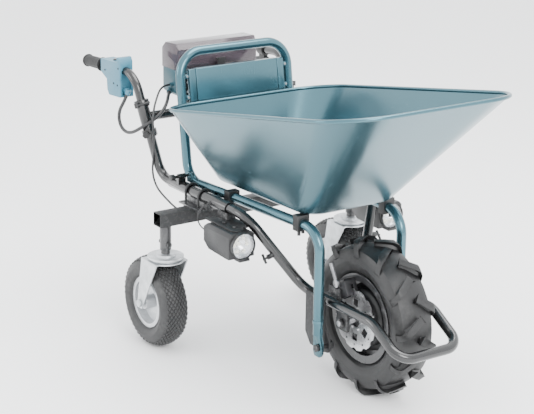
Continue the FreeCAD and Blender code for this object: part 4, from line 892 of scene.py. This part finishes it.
roll = bpy.data.curves.new("tub_rim_roll", "CURVE")
roll.dimensions = "3D"
roll.bevel_depth = ROLL_R
roll.bevel_resolution = 5
roll_line = roll.splines.new("POLY")
rolled_rim = [point.lerp(floor_middle, 0.003) for point in rim_loop]
roll_line.points.add(len(rolled_rim) - 1)
for point, place in zip(roll_line.points, rolled_rim):
    point.co = place.to_4d()
roll_line.use_cyclic_u = True
rim_roll = add_object("tub_rim_roll", roll)
roll_graph = bpy.context.evaluated_depsgraph_get()
roll_mesh = bpy.data.meshes.new_from_object(rim_roll.evaluated_get(roll_graph))
bpy.data.objects.remove(rim_roll)
rim_piece = new_piece("tub_rim", roll_mesh, teal_paint)
shade(rim_piece, 50)
fix_on(rim_piece, "tub", hide=False)


# ---------------------------------------------------------------- tub frame and panel
# A second bent tube: two legs hinged beside the wheel, two rails under the tub and an arch behind
# it, with a folded sheet panel across the arch. Same teal paint; the tabs are welded on.
teal_frame = finish("teal_frame_paint", paint, dict(TEAL, Gloss=0.22), bump=0.02, metallic=0.85,
                    constants={"Coat Weight": 0.25, "Coat Roughness": 0.12})
eased("tub_frame", teal_frame, 0.0006)
clamp_plastic = finish("clamp_plastic", moulded, {
    "Colour": (0.008, 0.008, 0.0085, 1), "Bloom": (0.02, 0.02, 0.02, 1), "Dullness": 0.5})
eased("tub_clamps", clamp_plastic, 0.0014)

ARCH_LEAN = -51.0 / 357.0
PANEL_LOW, PANEL_HIGH = 664.0, 763.0
PANEL_HALF_W = 160.4
PANEL_CAP_W = 23.0
PANEL_GAP = 1.6
PANEL_DEPTH = 14.0


def panel_face_x(z):
    return -633.0 + ARCH_LEAN * (z - 452.0) + 14.0


def block_between(shape, y0, y1, z0, z1, depth, set_back=0.0):
    """Upright block between two y and two z that leans with the arch."""
    corners = []
    for y in (y0, y1):
        for z, behind in ((z0, 0), (z0, 1), (z1, 1), (z1, 0)):
            x = panel_face_x(z) - set_back - depth * behind
            corners.append(shape.verts.new(at(x, y, z)))
    for quad in ((0, 1, 2, 3), (7, 6, 5, 4), (0, 4, 5, 1), (1, 5, 6, 2), (2, 6, 7, 3), (3, 7, 4, 0)):
        shape.faces.new([corners[i] for i in quad])


panel_shape = bmesh.new()
field_half = PANEL_HALF_W - PANEL_CAP_W
block_between(panel_shape, -field_half, field_half, PANEL_LOW, PANEL_HIGH, PANEL_DEPTH)
for side in (-1, 1):
    block_between(panel_shape, side * (field_half + PANEL_GAP), side * PANEL_HALF_W,
                  PANEL_LOW, PANEL_HIGH - 1, PANEL_DEPTH - 1, 0.6)
    block_between(panel_shape, side * (field_half - 4), side * (field_half + 6),
                  PANEL_LOW + 1, PANEL_HIGH - 2, PANEL_DEPTH - 4, 3.0)
    for z in (PANEL_LOW + 14, PANEL_HIGH - 26):
        block_between(panel_shape, side * (PANEL_HALF_W - 1), side * 172.0, z, z + 12, 6, 3.0)
bmesh.ops.recalc_face_normals(panel_shape, faces=panel_shape.faces)
panel = new_piece("rear_panel_sheet", mesh_of(panel_shape, "rear_panel_sheet"), teal_paint)
round_edges(panel, 0.0016, 3, 30)
shade(panel)
fix_on(panel, "rear_panel")
panel_screws = [(at(panel_face_x(z) - 2.4, side * 166.5, z), (1, 0, 0.14))
                for side in (-1, 1) for z in (PANEL_LOW + 20, PANEL_HIGH - 20)]
set_screws("panel_screws", panel_screws, "rear_panel", plated_steel, 0.0032, 0.002)


# ---------------------------------------------------------------- tub lock
# A spring pin through the sleeve's barrel holds the tub down on its right side.
eased("lock_pin", satin_black, 0.0008)


# ---------------------------------------------------------------- handles
# The lower tubes rise from the frame; the upper tubes slide in them and are held by a cam lever
# and a star knob on each collar. A black cross tube ties the two sides together.
eased("handle_crossbar", black_paint, 0.001)
for side in ("right", "left"):
    dress("upper_handle_" + side, black_paint)
    eased("clamp_lever_" + side, satin_black, 0.0005, 1)
    eased("clamp_knob_" + side, clamp_plastic, 0.0012)

# Moulded rubber grips with fine ribs round them and a flange at each end.
grip_rubber = finish("grip_rubber", moulded, {
    "Colour": (0.008, 0.008, 0.0084, 1), "Bloom": (0.024, 0.024, 0.024, 1), "Dullness": 0.56,
    "Grain size": 1100.0}, bump=0.3)
HANDLE_HEAD = (-802, 260, 737)
GRIP_TIP = (-1077, 261, 724)
GRIP_L = 0.096
GRIP_R = 0.0165
GRIP_BORE = 0.0127
RIB_STEP = 0.0052


def grip_radius(t):
    """Radius along the grip from its inner flange, t = 0, to its tip."""
    if t < 0.006:
        return 0.021
    if t < 0.0085:
        return 0.021 - (t - 0.006) * 1.5
    if t > GRIP_L - 0.004:
        return 0.0193 - (t - GRIP_L + 0.004) * 0.35
    swell = 0.0006 * math.sin(math.pi * t / GRIP_L)
    return GRIP_R + swell - 0.0007 * (0.5 + 0.5 * math.cos(2 * math.pi * t / RIB_STEP)) ** 4


for side, sign in (("right", -1), ("left", 1)):
    tip = at(GRIP_TIP[0], sign * GRIP_TIP[1], GRIP_TIP[2])
    head = at(HANDLE_HEAD[0], sign * HANDLE_HEAD[1], HANDLE_HEAD[2])
    back = (tip - head).normalized()
    stations = [i * GRIP_L / 150 for i in range(151)]
    profile = [(t, grip_radius(t)) for t in stations]
    profile += [(GRIP_L, 0.012), (GRIP_L + 0.0004, 0.0001), (GRIP_L - 0.005, 0.0001),
                (GRIP_L - 0.005, GRIP_BORE), (0, GRIP_BORE)]
    grip = lathe("grip_rubber_" + side, profile, Vector((0, 0, 0)), grip_rubber, 48)
    aim = Vector((0, 1, 0)).rotation_difference(back).to_matrix().to_4x4()
    grip.data.transform(Matrix.Translation(tip - back * GRIP_L) @ aim)
    fix_on(grip, "grip_" + side)


# ---------------------------------------------------------------- switch box
# Two-part moulded housing clamped round the right handle, in a lighter blue than the tub, with
# the drive trigger behind it, the lamp button on top and the direction lever on its inner side.
light_blue = finish("switch_box_plastic", moulded, {
    "Colour": (0.045, 0.165, 0.235, 1), "Bloom": (0.06, 0.19, 0.265, 1), "Dullness": 0.36,
    "Grain size": 1600.0}, bump=0.12)
gloss_black = finish("gloss_black_plastic", moulded, {
    "Colour": (0.008, 0.008, 0.009, 1), "Bloom": (0.02, 0.02, 0.02, 1), "Dullness": 0.2,
    "Grain size": 2500.0}, bump=0.05)
eased("switch_box", light_blue, 0.0022, 3)
eased("drive_trigger", gloss_black, 0.001)
eased("light_button", gloss_black, 0.0012, 3)
eased("direction_switch", gloss_black, 0.001)
box_screws = [(at(-884, -281.2, 694), (0, -1, 0)), (at(-862, -281.2, 692), (0, -1, 0)),
              (at(-935, -281.2, 724), (0, -1, 0)), (at(-856, -281.2, 742), (0, -1, 0))]
set_screws("switch_box_screws", box_screws, "switch_box", gloss_black, 0.003, 0.001)


# ---------------------------------------------------------------- hand brake
# Clamp bracket and lever under the left grip.
eased("brake_bracket", clamp_plastic, 0.0014, 3)
eased("brake_lever", anodised, 0.0014, 3)


# ---------------------------------------------------------------- battery box
# Teal moulded tray bolted behind the arch, two tool batteries standing in it, and a hinged lid of
# smoked clear plastic held by a spring latch.
teal_plastic = finish("teal_plastic", moulded, {
    "Colour": (0.026, 0.082, 0.104, 1), "Bloom": (0.04, 0.105, 0.13, 1), "Dullness": 0.4,
    "Grain size": 1300.0}, bump=0.12)
battery_plastic = finish("battery_plastic", moulded, {
    "Colour": (0.014, 0.014, 0.015, 1), "Bloom": (0.04, 0.04, 0.041, 1), "Dullness": 0.45})
smoked = finish("smoked_lid", moulded, {
    "Colour": (0.2, 0.165, 0.19, 1), "Bloom": (0.26, 0.22, 0.25, 1), "Dullness": 0.08,
    "Grain size": 300.0}, bump=0.02, constants={"Transmission Weight": 0.82, "IOR": 1.45})
eased("battery_box", teal_plastic, 0.0014, 3)
eased("battery_lid", smoked, 0.0012, 3)
eased("battery_bracket", black_paint, 0.0012)
eased("lid_hinge", clamp_plastic, 0.0008)
eased("lid_latch", clamp_plastic, 0.0012)
for side in ("right", "left"):
    eased("battery_" + side, battery_plastic, 0.002, 3)
bracket_screws = [(at(-760.8, y, z), (1, 0, 0)) for y in (-105, -40, 40, 105) for z in (672, 700)]
set_screws("box_screws", bracket_screws, "battery_bracket", plated_steel, 0.0035, 0.002)


# ---------------------------------------------------------------- headlights
# A black moulded lamp hangs under each side of the frame from a folded bracket: a bright dish with
# light chips behind a clear face, in a short round hood.
lamp_plastic = finish("lamp_plastic", moulded, {
    "Colour": (0.012, 0.0122, 0.013, 1), "Bloom": (0.02, 0.0203, 0.021, 1), "Dullness": 0.4,
    "Grain size": 1200.0}, bump=0.15)
dish_metal = finish("dish_metal", metal, {
    "Metal": (0.93, 0.94, 0.95, 1), "Stain": (0.85, 0.86, 0.88, 1), "Dullness": 0.16}, metallic=0.6)
clear_face = finish("clear_face", moulded, {
    "Colour": (0.97, 0.98, 1.0, 1), "Bloom": (0.95, 0.97, 1.0, 1), "Dullness": 0.04,
    "Grain size": 200.0}, bump=0.02, constants={"Transmission Weight": 1.0, "IOR": 1.4})
eased("headlight_bodies", lamp_plastic, 0.0009, 2)
eased("headlight_brackets", satin_black, 0.001)
eased("headlight_lenses", clear_face, 0.0006)
dress("headlight_reflectors", dish_metal)
chip_light = finish("light_chip", moulded, {
    "Colour": (0.95, 0.93, 0.8, 1), "Bloom": (1.0, 1.0, 0.95, 1), "Dullness": 0.3,
    "Grain size": 900.0}, constants={"Emission Color": (1.0, 0.97, 0.9, 1), "Emission Strength": 0.5})
LAMP_FACE_X = -252
LAMP_Y = 250
LAMP_Z = 377
DISH_R = 0.0336
DISH_BACK = 15.8
CHIPS_AROUND = 6
CHIP_RING_R = 0.0175
for side, sign in (("right", -1), ("left", 1)):
    centre = at(LAMP_FACE_X - DISH_BACK, sign * LAMP_Y, LAMP_Z)
    dish_profile = [(0.0, 0.0075), (0.004, 0.014), (0.011, 0.024), (0.0195, 0.032), (0.0205, DISH_R),
                    (0.0005, DISH_R), (0.0, 0.02)]
    dish = lathe("lamp_dish_" + side, dish_profile, Vector((0, 0, 0)), dish_metal, 56)
    dish.data.transform(Matrix.Translation(centre) @ Matrix.Rotation(-math.pi / 2, 4, "Z"))
    shade(dish, 60)
    fix_on(dish, "headlight_reflectors", hide=False)
    chip_spots = [(centre + Vector((0.0045, 0.0, 0.0)), (1, 0, 0))]
    for i in range(CHIPS_AROUND):
        turned = 2 * math.pi * i / CHIPS_AROUND
        spot = Vector((0.011, CHIP_RING_R * math.cos(turned), CHIP_RING_R * math.sin(turned)))
        chip_spots.append((centre + spot, (1, 0, 0)))
    set_screws("lamp_chips_" + side, chip_spots, "headlight_reflectors", chip_light, 0.0042, 0.004)

grommet_rubber = finish("grommet_rubber", moulded, {
    "Colour": (0.018, 0.018, 0.019, 1), "Bloom": (0.04, 0.04, 0.04, 1), "Dullness": 0.55})
eased("cable_grommets", grommet_rubber, 0.0008)
